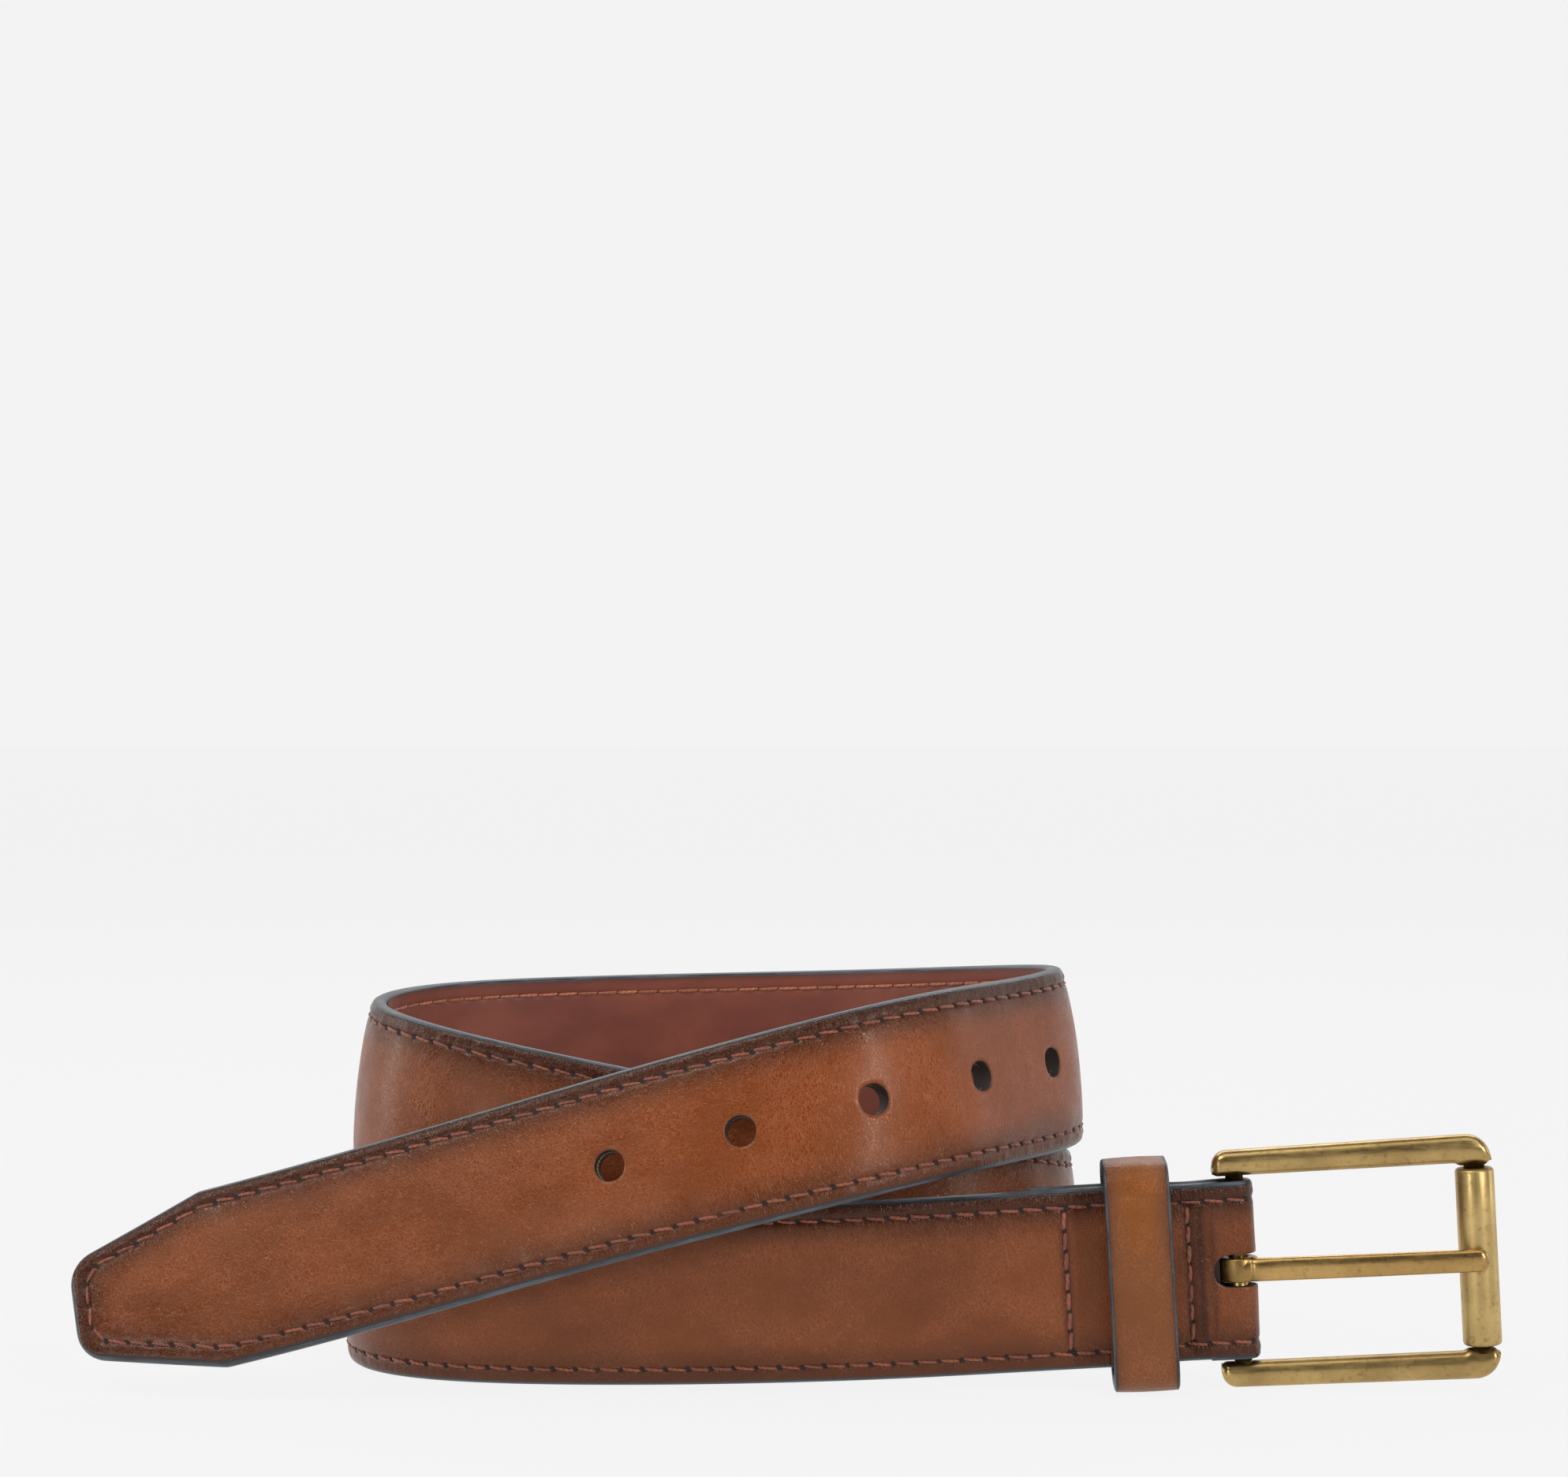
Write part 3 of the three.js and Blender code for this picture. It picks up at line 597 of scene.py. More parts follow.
def punched_grid(start, end):
    """Strap grid with the five holes open."""
    q, u, c = strap_grid(start, end)
    grid = (q, u, c, np.zeros(q.shape, bool), np.zeros(q.shape))
    for centre in HOLES:
        grid = open_at(grid, centre, HOLE_RADIUS, np.abs(grid[0] - centre) < CORE_Q * SPREAD)
    return grid


def drop_cells(inside):
    """Cells to keep: all but those whose four corners are inside an opening."""
    return ~(inside[:-1, :-1] & inside[1:, :-1] & inside[:-1, 1:] & inside[1:, 1:])


RETURN_END = FOLD_RADIUS - math.pi * FOLD_RADIUS - (RETURN_LENGTH - FOLD_RADIUS)
grid = punched_grid(RETURN_END, LENGTH - FACE_INSET)
slot_front = HOLES[0] - ROW_STEP * round((HOLES[0] - (SLOT_REACH - SLOT_RADIUS)) / ROW_STEP)
slot_back_q = FOLD_RADIUS - math.pi * FOLD_RADIUS - (SLOT_REACH - SLOT_RADIUS - FOLD_RADIUS)
slot_back = HOLES[0] - ROW_STEP * round((HOLES[0] - slot_back_q) / ROW_STEP)
front_half = grid[0] >= (slot_front + slot_back) / 2
for centre, one_sided, half_strap in ((slot_front, 1, front_half), (slot_back, -1, ~front_half)):
    near = half_strap & (one_sided * (grid[0] - centre) < CORE_Q * SPREAD)
    grid = open_at(grid, centre, SLOT_RADIUS, near, one_sided)
q, u, _, inside, rim_lip = grid

flat_points = np.stack([q.ravel(), u.ravel()], 1)
to_seam = nearest(dense_row, flat_points).reshape(q.shape)
to_hole = nearest(seam, flat_points).reshape(q.shape)
to_cross = nearest(dense_cross, flat_points).reshape(q.shape)
to_cross_hole = nearest(np.concatenate(CROSS_ROWS), flat_points).reshape(q.shape)
from_edge = half_width(np.maximum(ply_frame(q)[0], 0)) - np.abs(u)
from_edge = np.minimum(from_edge, LENGTH - q)
rng = np.random.default_rng(7)
phases = rng.uniform(0, 2 * math.pi, 12)
swell = sum(np.sin(q * k + phases[i]) * np.sin(u * m + phases[i + 6]) for i, (k, m) in enumerate(SWELL_WAVES))
tug = sum(np.sin(q * k + phases[i]) for i, k in enumerate(TUG_WAVES))
lift = 0.035 * swell * smooth(from_edge, 0.8, 5)
lift -= 0.2 * bell(to_seam, 0.6) + 0.22 * bell(to_hole, 0.75)
lift -= 0.2 * bell(to_cross, 0.6) + 0.2 * bell(to_cross_hole, 0.75)
lift += 0.05 * tug * bell(from_edge - 2.0, 0.6)
turn_radius = 0.8 + 0.5 * smooth(q, 7, 12)
edge_round = np.clip(turn_radius - from_edge, 0, turn_radius)
lift -= turn_radius - np.sqrt(turn_radius**2 - edge_round**2)
lift -= 0.28 * rim_lip**2
points = on_ply(q, u, lift)
rows, columns = q.shape
faces = [tuple(f) for f in grid_faces(rows, columns, keep=drop_cells(inside))]
skirt = on_ply(q, u, lift - SKIRT)
border = [[(i, side) for i in range(rows)] for side in (0, columns - 1)]
border += [[(side, j) for j in range(columns)] for side in (0, rows - 1)]
all_points = [points.reshape(-1, 3)]
all_uv = [np.stack([q, u], -1).reshape(-1, 2)]
upper = np.where(u > 0, 1.0, 0.72)
rim = (1 - smooth(from_edge, 2.0, 9.5)) * upper
rim = np.maximum(rim, 0.95 * bell(to_cross, 1.0))
# Painted shade: two dark bands across the strap near the fold, the shade of creases that the mesh doesn't have; past
# the buckle-end cross stitch the strap is a little darker too.
crease_shade = bell(q - CROSS_AT[0] + 2.2, 1.1) + 0.6 * bell(q - CROSS_AT[0] + 4.6, 0.7)
rim = np.clip(np.maximum(rim, 0.9 * crease_shade) + 0.2 * (q < CROSS_AT[0]), 0, 1)
rim = np.clip(rim + 0.25 * smooth(q, LENGTH - 45, LENGTH) * np.exp(-np.maximum(from_edge, 0) / 6), 0, 1)
painted = np.clip(1 - smooth(from_edge, 0.7, 1.25) + rim_lip**3, 0, 1)
gold = np.clip(1 - (np.abs(u) / 16) ** 2, 0, 1) * (0.18 + 0.82 * bell(q - (LENGTH - GOLD_AT), GOLD_SPAN))
pucker = bell(from_edge - 2.0, 1.4) + 0.5 * bell(to_seam, 1.8) + 0.6 * bell(to_cross, 2.2)
layers = {"rim": [rim.ravel()], "gold": [gold.ravel()], "pucker": [pucker.ravel()], "painted": [painted.ravel()]}
base = rows * columns
for line, flip in zip(border, (True, False, False, True)):
    index = np.array([i * columns + j for i, j in line])
    all_points.append(skirt.reshape(-1, 3)[index])
    all_uv.append(all_uv[0][index])
    for values in layers.values():
        values.append(values[0][index])
    for k in range(len(index) - 1):
        quad = (index[k], index[k + 1], base + k + 1, base + k)
        faces.append(quad[::-1] if flip else quad)
    base += len(index)
make("strap_face", np.concatenate(all_points), [f[::-1] for f in faces], FACE, "strap", "top_leather",
     uv=np.concatenate(all_uv), layers={k: np.concatenate(v) for k, v in layers.items()})

# ---------------------------------------------------------------- lining
q, u, _, inside, _ = punched_grid(RETURN_LENGTH - LINING_LAP, LENGTH - FACE_INSET)
back_seam, back_way = resample(outline(RETURN_LENGTH + 1.5, MARGIN), PITCH)
flat_points = np.stack([q.ravel(), u.ravel()], 1)
to_seam = nearest(dense_row, flat_points).reshape(q.shape)
to_hole = nearest(back_seam, flat_points).reshape(q.shape)
from_edge = np.minimum(half_width(q) - np.abs(u), LENGTH - q)
edge_round = np.clip(LINING_ROUND - from_edge, 0, LINING_ROUND)
lift = -0.12 * bell(to_seam, 0.6) - 0.14 * bell(to_hole, 0.7)
lift -= LINING_ROUND - np.sqrt(LINING_ROUND**2 - edge_round**2)
points = on_back(q, u, lift)
rows, columns = q.shape
rim = np.clip(np.exp(-np.maximum(from_edge - 0.5, 0) / 0.5), 0, 1)
make("strap_lining", points, grid_faces(rows, columns, keep=drop_cells(inside)), LINING, "strap",
     "lining_leather", uv=np.stack([q, u], -1), layers={"rim": rim})

# ---------------------------------------------------------------- walls of the punched holes and the slot, dark as painted shade
walls = []
angle = np.linspace(0, 2 * math.pi, 49)[:-1]
for centre in HOLES:
    hq, hu = centre + HOLE_RADIUS * np.cos(angle), HOLE_RADIUS * np.sin(angle)
    top = on_ply(hq, hu, -0.24)
    low = on_back(hq, hu, 0.0)
    rings = [top + (low - top) * k for k in (0, 0.3, 0.7, 1)]
    p, f = tube(rings, caps=False, flip=True)
    walls.append((p, f, 0))
run = np.linspace(slot_front, slot_back, 60)
side_u = np.full(60, SLOT_RADIUS)
turn = np.linspace(-math.pi / 2, math.pi / 2, 25)
round_q, round_u = SLOT_RADIUS * np.cos(turn), SLOT_RADIUS * np.sin(turn)
loop_q = np.concatenate([slot_front + round_q, run, slot_back - round_q, run[::-1]])
loop_u = np.concatenate([round_u, side_u, -round_u, -side_u])
rings = [on_ply(loop_q, loop_u, -0.26 - depth) for depth in (0, 0.5, 1.1)]
p, f = tube(rings, caps=False, flip=True)
walls.append((p, f, 0))
p, f, _ = merge(walls)
wall = make("punched_walls", p, f, CUT_WALL_AND_SHADE, "strap")


# ---------------------------------------------------------------- painted edges
STRIP_LINES = 13


def edge_strip(outer, inner, away, bulge):
    """Rounded strip from an outer to an inner line, swelling towards away."""
    middle = (outer + inner) / 2
    reach = (outer - inner) / 2
    rings = []
    for a in np.linspace(0, math.pi, STRIP_LINES):
        rings.append(middle + reach * math.cos(a) + away * bulge * math.sin(a))
    grid = np.stack(rings, 1)
    return grid.reshape(-1, 3), [tuple(f) for f in grid_faces(grid.shape[0], STRIP_LINES)], 0


path, way = resample(outline(6.5, 1.3), 0.8)
_, along, _, across = stations(path[:, 0])
away = unit(across * way[:, :1] - along * way[:, 1:])
outer = on_ply(path[:, 0], path[:, 1], -0.09)
inner = on_back(path[:, 0], path[:, 1], -0.04)
strips = [edge_strip(outer, inner, away, 1.26)]
ply_q = np.arange(9.5, RETURN_END + 0.6, -0.5)
for side in (1, -1):
    s = ply_frame(ply_q)[0]
    half = side * (half_width(s) - 0.85)
    outer = on_ply(ply_q, half, -0.04)
    inner = on_ply(ply_q, half, -FACE_PLY + 0.05)
    across = stations(s)[3]
    strips.append(edge_strip(outer, inner, across * side, 0.92))
end_u = np.linspace(-16.3, 16.3, 50)
outer = on_ply(np.full(50, RETURN_END + 0.75), end_u, -0.03)
inner = on_ply(np.full(50, RETURN_END + 0.75), end_u, -FACE_PLY + 0.05)
along = stations(np.full(50, RETURN_LENGTH))[1]
strips.append(edge_strip(outer, inner, along, 0.85))
p, f, _ = merge(strips)
flat_uv = np.stack([np.arange(len(p)) * 0.06, np.tile(np.arange(STRIP_LINES), len(p) // STRIP_LINES) * 0.3], 1)
paint = make("edge_paint", p, f, PAINT, "strap", uv=flat_uv)


# ---------------------------------------------------------------- stitches, and needle holes with painted shade
def stitch_run(surface, holes, radius, slant, rise, sink, gap):
    """One sunken, slightly slanted stitch between each two needle holes."""
    parts, uv = [], []
    for k in range(len(holes) - 1):
        a, b = holes[k], holes[k + 1]
        heading = unit(b - a)
        side = np.array([-heading[1], heading[0]])
        lean = slant * (1 + 0.25 * rng.standard_normal())
        t = np.linspace(0, 1, 11)
        start, end = a + heading * gap * 0.5, b - heading * gap * 0.5
        centre = start + (end - start) * t[:, None] + side * (lean * (2 * t - 1))[:, None]
        lift = -sink + (rise + sink) * np.sin(np.pi * np.clip(t, 0, 1)) ** 0.45
        thick = radius * (0.8 + 0.2 * np.sin(np.pi * t)) * (1 + 0.06 * rng.standard_normal())
        axis = surface(centre[:, 0], centre[:, 1], lift)
        beside = surface(centre[:, 0] + side[0] * 0.2, centre[:, 1] + side[1] * 0.2, lift)
        tangent = unit(np.gradient(axis, axis=0))
        sideways = unit(beside - axis)
        normal = unit(np.cross(tangent, sideways))
        sideways = unit(np.cross(normal, tangent))
        rings = []
        for i in range(len(t)):
            turn = np.linspace(0, 2 * math.pi, 11)[:-1]
            round_ = np.cos(turn)[:, None] * sideways[i] + 0.8 * np.sin(turn)[:, None] * normal[i]
            rings.append(axis[i] + thick[i] * round_)
            uv.append(np.stack([np.full(10, centre[i, 0]), centre[i, 1] + turn * radius], 1))
        p, f = tube(rings)
        parts.append((p, f, rng.uniform(0.25, 1.0)))
    p, f, tone = merge(parts)
    return p, f, tone, np.concatenate(uv)


def pits(surface, holes, ways, long, wide, tilt, lift=0.03):
    """Slanted ellipse at each needle hole, a little hollow, coloured near black as painted shade of the hole."""
    parts = []
    turn = np.linspace(0, 2 * math.pi, 15)[:-1]
    for h, w in zip(holes, ways):
        side = np.array([-w[1], w[0]])
        axis = unit(w * math.cos(tilt) + side * math.sin(tilt))
        cross = np.array([-axis[1], axis[0]])
        size = 1 + 0.15 * rng.standard_normal()
        ring = h + size * (np.cos(turn)[:, None] * axis * long + np.sin(turn)[:, None] * cross * wide)
        rim_ring = surface(ring[:, 0], ring[:, 1], lift)
        inner = h + 0.5 * (ring - h)
        low_ring = surface(inner[:, 0], inner[:, 1], lift - 0.12)
        centre = surface(h[:1], h[1:], lift - 0.2)
        p = np.concatenate([rim_ring, low_ring, centre.reshape(1, 3)])
        f = [(i, (i + 1) % 14, 14 + (i + 1) % 14, 14 + i) for i in range(14)]
        f += [(14 + i, 14 + (i + 1) % 14, 28) for i in range(14)]
        parts.append((p, f, 0))
    return merge(parts)[:2]


def seam_lift(s, u, lift):
    return on_ply(s, u, lift - 0.28)


def back_lift(s, u, lift):
    return on_back(s, u, lift - 0.1)


p, f, tone, uv = stitch_run(seam_lift, seam, 0.29, 0.2, 0.2, 0.24, gap=0.7)
make("stitches_face", p, f, THREAD, "strap", "edge_stitch_face", uv=uv, layers={"tone": tone})
p, f, tone, uv = stitch_run(back_lift, back_seam, 0.3, 0.05, 0.2, 0.2, gap=0.35)
make("stitches_lining", p, f, BACK_THREAD, "strap", "edge_stitch_lining", uv=uv, layers={"tone": tone})
for row, name in zip(CROSS_ROWS, ("cross_stitch_buckle", "cross_stitch_return")):
    ways = unit(np.gradient(row, axis=0))
    p, f, tone, uv = stitch_run(seam_lift, row, 0.4, 0.12, 0.22, 0.22, gap=0.7)
    make(name + "_thread", p, f, THREAD, "strap", name, uv=uv, layers={"tone": tone})
    p, f = pits(seam_lift, row, ways, 0.5, 0.4, 0.5, lift=0.13)
    hole_piece = make(name + "_stitch_hole_shades", p, f, PIT, "strap")
p, f = pits(seam_lift, seam, seam_way, 0.66, 0.36, 0.8, lift=0.13)
needle = make("stitch_hole_shades", p, f, PIT, "strap")
p, f = pits(back_lift, back_seam, back_way, 0.35, 0.25, 0.3)
needle_back = make("stitch_hole_shades_lining", p, f, PIT, "strap")

# ---------------------------------------------------------------- keeper loop
KEEPER_AT = 22.4
KEEPER_WIDTH = 12.2
KEEPER_HEIGHT = 44.0
KEEPER_RISE = 0.6
KEEPER_FRONT = 8.6
KEEPER_BACK = 7.4
KEEPER_RADIUS = 5.2
KEEPER_YAW = math.radians(4.5)
KEEPER_PLY = 1.35
KEEPER_LINING = 0.95
KEEPER_GIRTH = 115.0
KEEPER_ROUND = 0.7


def keeper_path(count=220):
    """Rounded rectangle round the strap as height out of it and offset across it, with its outward normal."""
    half_v, half_u = (KEEPER_FRONT + KEEPER_BACK) / 2, KEEPER_HEIGHT / 2
    middle = (KEEPER_FRONT - KEEPER_BACK) / 2
    r = KEEPER_RADIUS
    corners = [(half_v - r, half_u - r, 0), (-(half_v - r), half_u - r, 90), (-(half_v - r), -(half_u - r), 180),
               (half_v - r, -(half_u - r), 270)]
    pts = []
    for v, w, start in corners:
        for a in np.linspace(start, start + 90, 24):
            a = math.radians(a)
            pts.append((middle + v + r * math.cos(a), KEEPER_RISE + w + r * math.sin(a)))
    pts = np.array(pts + pts[:1])
    even, way = resample(pts, np.linalg.norm(np.diff(pts, axis=0), axis=1).sum() / count)
    even, way = even[:-1], way[:-1]
    way = unit(np.roll(even, -1, axis=0) - np.roll(even, 1, axis=0))
    return even, np.stack([way[:, 1], -way[:, 0]], 1)


def keeper_ring(profile):
    """Closed band whose section is a list of (across the band, depth inwards)."""
    loop, normal = keeper_path()
    point, along, out, across = (v[0] for v in stations(np.array([KEEPER_AT])))
    yaw = KEEPER_YAW * smooth(loop[:, 0], -KEEPER_BACK, KEEPER_FRONT)
    width_axis = along * np.cos(yaw)[:, None] - out * np.sin(yaw)[:, None]
    bow = 0.35 * (1 - ((loop[:, 1] - KEEPER_RISE) / (KEEPER_HEIGHT / 2)) ** 2) * smooth(loop[:, 0], 6.5, 8.4)
    centre = point + across * loop[:, 1:] + out * (loop[:, :1] + bow[:, None])
    outward = across * normal[:, 1:] + out * normal[:, :1]
    grid = np.stack([centre + width_axis * w + outward * -d for w, d in profile], 1)
    length = np.arange(len(loop)) * KEEPER_GIRTH / len(loop)
    widths = np.array([[w for w, _ in profile]])
    uv = np.stack([np.repeat(length[:, None], len(profile), 1), np.repeat(widths, len(loop), 0)], -1)
    return grid, uv


def ring_faces(grid, flip=True):
    faces = grid_faces(*grid.shape[:2], close_rows=True, close_columns=True)
    return [f[::-1] for f in faces] if flip else faces


half = KEEPER_WIDTH / 2
flat = half - KEEPER_ROUND
face_profile = [(w, 0.18 * (w / half) ** 2) for w in np.linspace(-flat, flat, 19)]
round_edge = [(flat + KEEPER_ROUND * math.sin(a), 0.14 + KEEPER_ROUND - KEEPER_ROUND * math.cos(a))
              for a in np.linspace(0.15, math.pi / 2, 7)]
under = [(half - 0.02, KEEPER_PLY - 0.1), (half - 0.5, KEEPER_PLY)]
outer_profile = ([(-w, d) for w, d in round_edge[::-1]] + face_profile + round_edge
                 + under + [(-w, d) for w, d in under[::-1]])
grid, uv = keeper_ring(outer_profile)
widths, depths = np.array(outer_profile).T
rim_line = np.clip(np.exp(-np.maximum(half - np.abs(widths) - 0.25, 0) / 0.8), 0, 1)
rim_line = np.where(depths > 0.35, 1.0, rim_line)
gold_line = np.clip(1 - (widths / 5) ** 2, 0, 1)
height_of = keeper_path()[0][:, 1] / (KEEPER_HEIGHT / 2)
layers = {"rim": np.tile(rim_line, (len(grid), 1)) * 0.8,
          "gold": gold_line[None, :] * smooth(height_of, -0.2, 0.75)[:, None],
          "pucker": np.zeros(grid.shape[:2]),
          "painted": np.tile(np.where(depths > 0.3, 1.0, 0.0), (len(grid), 1))}
make("keeper_band", grid, ring_faces(grid), KEEPER_FACE, "keeper", "keeper_leather", uv=uv, layers=layers)
paint_profile = [(half - 0.42, 0.1), (half - 0.12, 0.28), (half + 0.07, 0.7), (half + 0.08, 1.5),
                 (half - 0.08, 2.1), (half - 0.4, 2.32), (half - 0.5, 1.2)]
grid, uv = keeper_ring(paint_profile)
mirrored, _ = keeper_ring([(-w, d) for w, d in paint_profile])
p, f, _ = merge([(grid.reshape(-1, 3), ring_faces(grid), 0),
                 (mirrored.reshape(-1, 3), ring_faces(mirrored, flip=False), 0)])
keeper_paint = make("keeper_edge_paint", p, f, PAINT, "keeper", uv=np.concatenate([uv.reshape(-1, 2)] * 2))
inner_profile = [(w, KEEPER_PLY + KEEPER_LINING - 0.05 * abs(w) / half)
                 for w in np.linspace(half - 0.3, -half + 0.3, 13)]
inner_profile += [(-half + 0.3, KEEPER_PLY + 0.05), (half - 0.3, KEEPER_PLY + 0.05)]
grid, uv = keeper_ring(inner_profile)
make("keeper_inside", grid, ring_faces(grid), LINING, "keeper", "keeper_lining", uv=uv,
     layers={"rim": np.zeros(grid.shape[:2])})

# ---------------------------------------------------------------- buckle
fold_point, fold_along, fold_out, fold_across = (v[0] for v in stations(np.array([FOLD_RADIUS])))
BUCKLE_ORIGIN = fold_point - fold_out * FOLD_RADIUS
BUCKLE_AXES = np.stack([-fold_along, -fold_out, fold_across])
PIN_AT = 45.6
FRAME_LEFT, FRAME_RIGHT, FRAME_DEPTH = -4.2, 48.8, 4.6
HEEL_RADIUS, PIN_RADIUS, BAR_HALF = 1.7, 2.0, 18.4
PRONG_TIP, PRONG_SEAT, PRONG_THICK, PRONG_HALF = 47.2, 4.05, 3, 2.25
LOOP_FRONT = 3.72


def to_strap(local):
    return BUCKLE_ORIGIN + np.asarray(local, float) @ BUCKLE_AXES


def lofted_bar(stops, section, sides=48, power=0.86):
    """Bar along x; each section gives (y low, y high, z low, z high)."""
    turn = 2 * math.pi * (np.arange(sides) + 0.5) / sides
    shape_y = np.sign(np.cos(turn)) * np.abs(np.cos(turn)) ** power
    shape_z = np.sign(np.sin(turn)) * np.abs(np.sin(turn)) ** power
    rings = []
    for x in stops:
        y0, y1, z0, z1 = section(x)
        rings.append(np.stack([np.full(sides, x), (y0 + y1) / 2 + (y1 - y0) / 2 * shape_y,
                               (z0 + z1) / 2 + (z1 - z0) / 2 * shape_z], 1))
    return tube(rings, flip=True)


def turned(profile, x, sides, closed=False):
    """Round piece about an upright axis at x, from (radius, height) pairs."""
    turn = 2 * math.pi * np.arange(sides) / sides
    rings = [np.stack([x + r * np.cos(turn), r * np.sin(turn), np.full(sides, z)], 1) for r, z in profile]
    return tube(rings, closed=closed, flip=True)


def corner_drop(inwards, radius):
    left = max(radius - inwards, 0)
    return radius - math.sqrt(max(radius**2 - left**2, 0))


def arm_section(x):
    mix = (x - FRAME_LEFT) / (FRAME_RIGHT - FRAME_LEFT)
    end = min(x - FRAME_LEFT, FRAME_RIGHT - x)
    top = 22.7 + 0.8 * mix - corner_drop(x - FRAME_LEFT, 2.8) - corner_drop(FRAME_RIGHT - x, 4.8)
    bottom = 17.8 + 0.2 * mix - 0.5 * float(smooth(x, 41.6, 43.2)) + 0.8 * (1 - float(smooth(FRAME_RIGHT - x, 0, 1.3)))
    bottom += 0.35 * (1 - float(smooth(x - FRAME_LEFT, 0, 1.0)))
    depth = FRAME_DEPTH / 2 - 0.7 * (1 - float(smooth(end, 0, 1.3)))
    return -depth, depth, bottom, top


LEFT_STOPS = np.array([0, 0.08, 0.2, 0.4, 0.7, 1.1, 1.6, 2.2, 2.8])
RIGHT_STOPS = np.array([4.8, 4.2, 3.6, 3, 2.4, 1.9, 1.4, 1, 0.65, 0.35, 0.15, 0.04])
stops = np.concatenate([FRAME_LEFT + LEFT_STOPS, np.linspace(0, 41, 60), np.linspace(41.6, 43.6, 9),
                        FRAME_RIGHT - RIGHT_STOPS])
arm_points, arm_faces = lofted_bar(stops, arm_section)
mirrored = arm_points * [1, 1, -1]
heel = turned([(HEEL_RADIUS, -BAR_HALF), (HEEL_RADIUS, BAR_HALF)], 0, 40)
pin = turned([(PIN_RADIUS, -BAR_HALF), (PIN_RADIUS, BAR_HALF)], PIN_AT, 40)
p, f, _ = merge([(arm_points, arm_faces, 0), (mirrored, [f[::-1] for f in arm_faces], 0),
                 (*heel, 0), (*pin, 0)])
wear = np.clip(1.2 - (np.abs(p[:, 2]) - 17.4) / 0.9, 0, 1) * 0.75
wear = np.maximum(wear, np.where(np.abs(p[:, 2]) < 17.3, 0.8, 0))
make("frame_brass", to_strap(p), f, BRASS, "frame", "buckle_frame", layers={"wear": wear})


def prong_section(x):
    left = PRONG_TIP - x
    rise = min((max(x, 0) / PRONG_TIP) ** 0.45, 1)
    back = PRONG_SEAT * rise * (1.06 - 0.06 * x / PRONG_TIP) - 1.4 * (1 - float(smooth(x, 0, 3)))
    front = max(back + PRONG_THICK - 0.5 * float(smooth(x, 0, 12)), LOOP_FRONT) - corner_drop(left, 1.8)
    half_z = PRONG_HALF - 0.1 * x / PRONG_TIP - corner_drop(left, 2.1)
    return -front, -back, -half_z, half_z


stops = np.concatenate([np.linspace(0.3, 3, 10), np.linspace(3.6, 43, 60),
                        PRONG_TIP - np.array([3.6, 3.0, 2.4, 1.9, 1.4, 1.0, 0.65, 0.35, 0.15, 0.05, 0.01])])
body_points, body_faces = lofted_bar(stops, prong_section, power=0.8)
LOOP_PROFILE = [(2.0, -2.25), (3.3, -2.25), (3.58, -2.15), (3.7, -1.85), (3.7, 1.85), (3.58, 2.15), (3.3, 2.25),
                (2.0, 2.25)]
loop_points, loop_faces = turned(LOOP_PROFILE, 0, 48, closed=True)
p, f, _ = merge([(body_points, body_faces, 0), (loop_points, loop_faces, 0)])
wear = np.clip(1 - (p[:, 0] + 1) / 5, 0, 1) * 0.7 + 0.25 * np.clip(1 - (PRONG_TIP - p[:, 0]) / 3, 0, 1)
make("prong_brass", to_strap(p), f, PRONG_BRASS, "prong", "prong", layers={"wear": wear})

ROLLER_END = [(3.7, 16.3), (3.55, 16.7), (3.25, 16.93), (2.9, 17.0), (2.3, 17.0)]
roller_profile = [(r, -z) for r, z in ROLLER_END[::-1]] + [(3.7, -8), (3.7, 0), (3.7, 8)] + ROLLER_END
p, f = turned(roller_profile, PIN_AT, 64, closed=True)
wear = np.clip((np.abs(p[:, 2]) - 16.2) / 0.8, 0, 1) * 0.6
make("roller_brass", to_strap(p), f, ROLLER_BRASS, "roller", "roller", layers={"wear": wear})

# ---------------------------------------------------------------- between the leathers: a dark block as painted shade in the fold, and the filler
# Painted shade: a dark block, not a part of the belt, sits between the plies behind the slot so that the inside of the
# fold looks shaded.
SHADE_BLOCK_NEAR, SHADE_BLOCK_FAR, SHADE_BLOCK_HALF = 7.05, 10.6, 13
shade_block = []
for level in (-1.62, -4.5):
    for s_at, u_at in ((SHADE_BLOCK_NEAR, -SHADE_BLOCK_HALF), (SHADE_BLOCK_NEAR, SHADE_BLOCK_HALF),
                       (SHADE_BLOCK_FAR, SHADE_BLOCK_HALF), (SHADE_BLOCK_FAR, -SHADE_BLOCK_HALF)):
        point, _, out, across = (v[0] for v in stations(np.array([s_at])))
        shade_block.append(point + across * u_at + out * level)
shade_block_faces = [(0, 1, 2, 3), (7, 6, 5, 4), (0, 4, 5, 1), (1, 5, 6, 2), (2, 6, 7, 3), (3, 7, 4, 0)]
shade_block_piece = make("fold_shade_block", shade_block, shade_block_faces, CUT_WALL_AND_SHADE, "strap", shade=False)
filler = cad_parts["core_filler"]
filler_material, filler_tree, filler_shader = material("filler_board")
board = noise(filler_tree, node(filler_tree, "ShaderNodeTexCoord").outputs["Object"], 600.0)
board_color = mix_color(filler_tree, board, srgb(122, 96, 66), srgb(160, 132, 96))
filler_tree.links.new(board_color, filler_shader.inputs["Base Color"])
filler_shader.inputs["Roughness"].default_value = 0.9
filler.data.materials.clear()
filler.data.materials.append(filler_material)

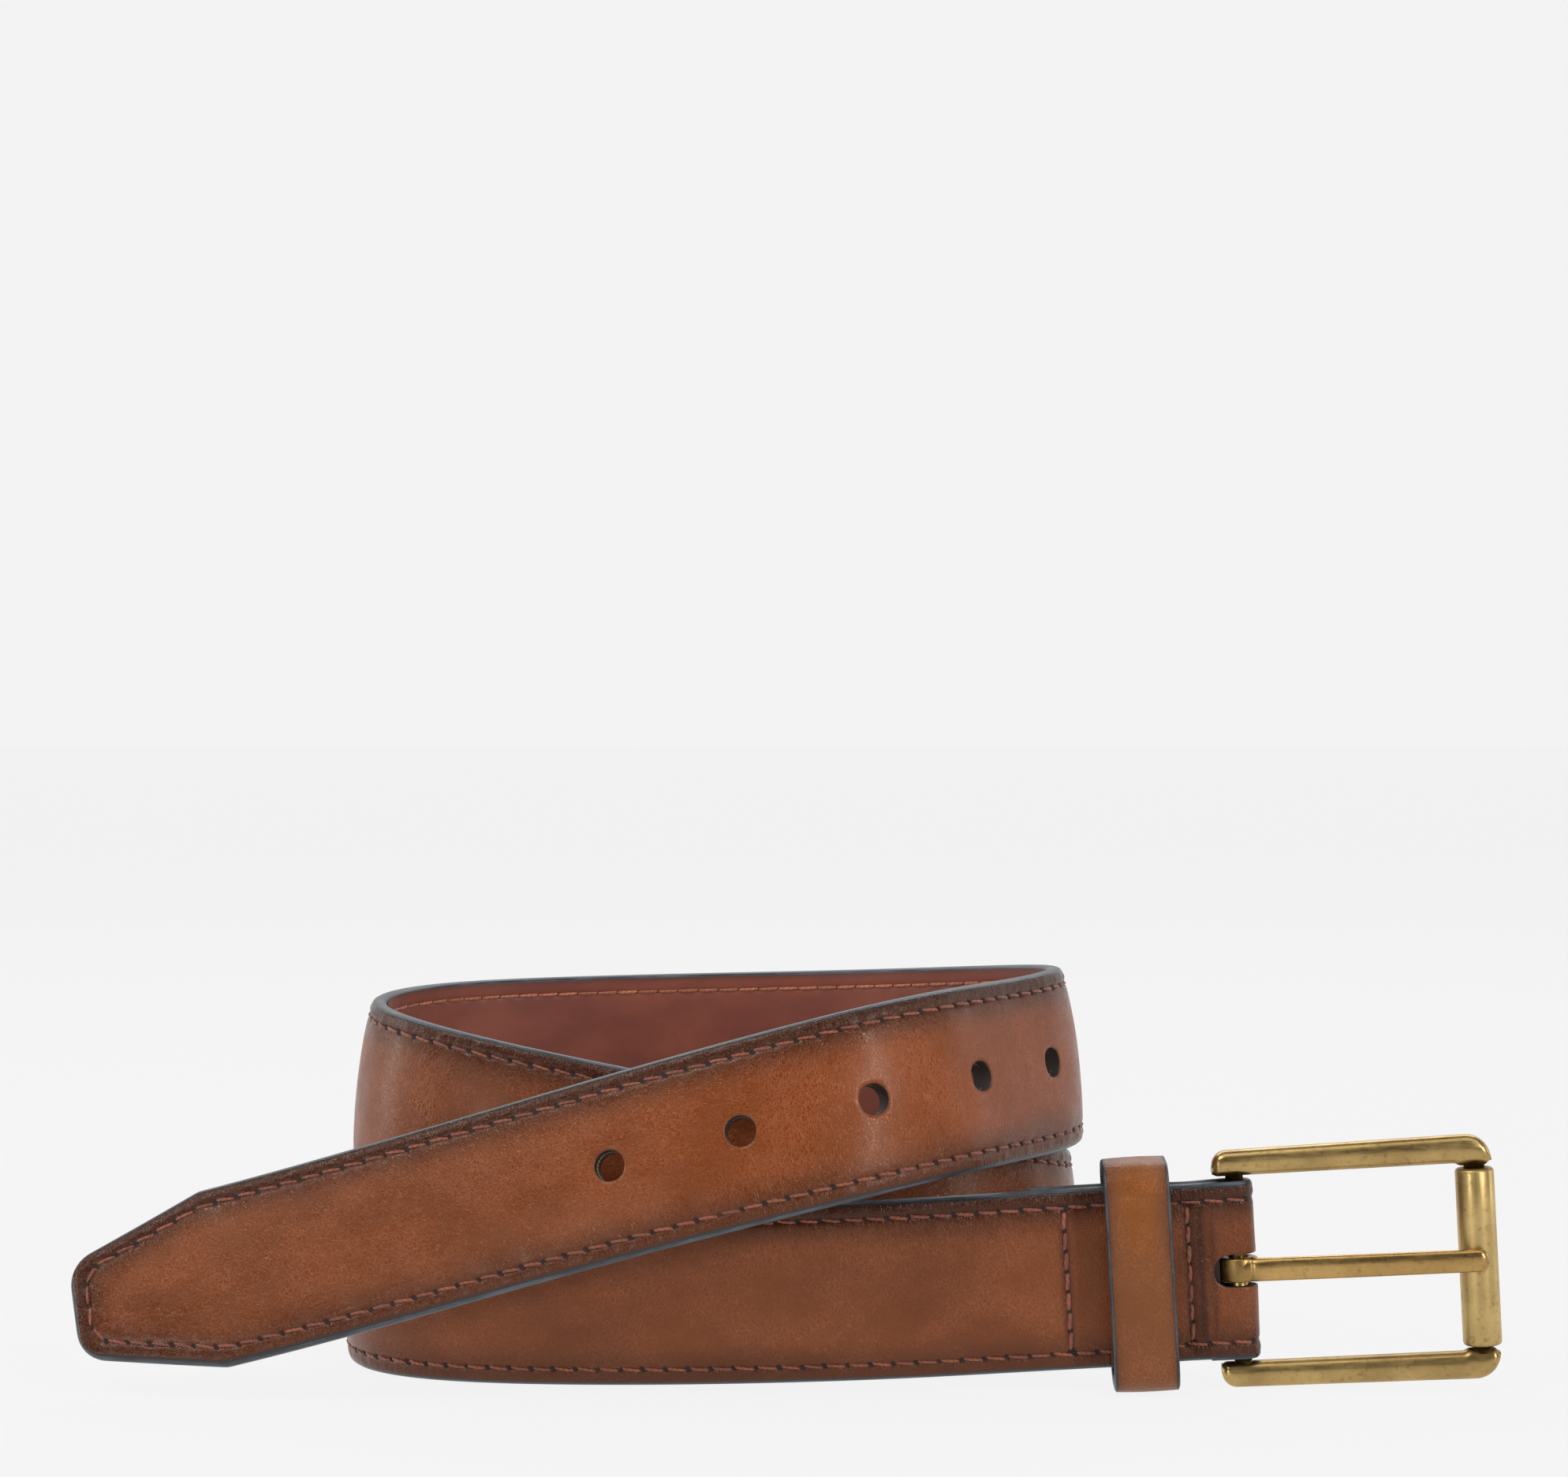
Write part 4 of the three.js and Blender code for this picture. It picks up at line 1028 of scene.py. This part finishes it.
# ---------------------------------------------------------------- stage, light and camera
def stage_mesh(name, corners, base, glow):
    """Flat piece of the studio that shines a little by itself, as lit paper does."""
    mesh = bpy.data.meshes.new(name)
    mesh.from_pydata(corners, [], [(0, 1, 2, 3)])
    obj = bpy.data.objects.new(name, mesh)
    bpy.context.scene.collection.objects.link(obj)
    m, _, shader = material(name)
    shader.inputs["Base Color"].default_value = (base, base, base, 1)
    shader.inputs["Roughness"].default_value = 1.0
    shader.inputs["Specular IOR Level"].default_value = 0.0
    shader.inputs["Emission Color"].default_value = (1, 1, 1, 1)
    shader.inputs["Emission Strength"].default_value = glow
    mesh.materials.append(m)


ROOM, ROOM_BACK, ROOM_HEIGHT = 6, 3, 4
stage_mesh("floor", [(-ROOM, -ROOM, 0), (ROOM, -ROOM, 0), (ROOM, ROOM_BACK, 0), (-ROOM, ROOM_BACK, 0)], 0.04, 0.865)
stage_mesh("backdrop", [(-ROOM, ROOM_BACK, 0), (ROOM, ROOM_BACK, 0), (ROOM, ROOM_BACK, ROOM_HEIGHT),
                        (-ROOM, ROOM_BACK, ROOM_HEIGHT)], 0.0, 0.896)

world = bpy.data.worlds.new("studio")
world.use_nodes = True
world.node_tree.nodes["Background"].inputs[0].default_value = (0.95, 0.97, 1.0, 1)
world.node_tree.nodes["Background"].inputs[1].default_value = 0.12
bpy.context.scene.world = world
bpy.context.scene.view_settings.view_transform = "Standard"


def softbox(name, location, target, size, power, color=(1, 1, 1)):
    light = bpy.data.lights.new(name, "AREA")
    light.shape = "RECTANGLE"
    light.size, light.size_y = size
    light.energy = power
    light.color = color
    obj = bpy.data.objects.new(name, light)
    obj.location = location
    obj.rotation_mode = "QUATERNION"
    obj.rotation_quaternion = (Vector(target) - Vector(location)).to_track_quat("-Z", "Y")
    bpy.context.scene.collection.objects.link(obj)


softbox("overhead", (0.0, -0.33, 0.95), (0, -0.02, 0.03), (1.5, 0.5), 3.2, (1.0, 0.99, 0.97))
softbox("back_top", (0.0, 0.7, 0.8), (0, 0.02, 0.03), (1.2, 0.4), 4)
softbox("front_right", (0.80, -0.92, 0.50), (0.03, -0.03, 0.06), (0.14, 0.6), 7.0)
softbox("front_left", (-0.68, -1.0, 0.17), (-0.05, -0.02, 0.05), (0.16, 0.22), 2.2)
softbox("high_left", (-0.5, -0.6, 1.0), (-0.05, -0.03, 0.06), (0.4, 0.2), 4.0)
softbox("side_left", (-1.1, 0.1, 0.35), (0, 0.0, 0.04), (0.3, 0.8), 5)
softbox("side_right", (1.2, 0.15, 0.35), (0, 0.0, 0.04), (0.3, 0.8), 2.5)

CAMERA_AT, CAMERA_DOWN = (-0.000577, -0.854153, 0.155807), 2.2
LENS, SENSOR = 100, 36
camera_data = bpy.data.cameras.new("camera")
camera_data.lens = LENS
camera_data.sensor_width = SENSOR
camera = bpy.data.objects.new("camera", camera_data)
camera.location = CAMERA_AT
camera.rotation_euler = (math.radians(90 - CAMERA_DOWN), 0, 0)
bpy.context.scene.collection.objects.link(camera)
bpy.context.scene.camera = camera
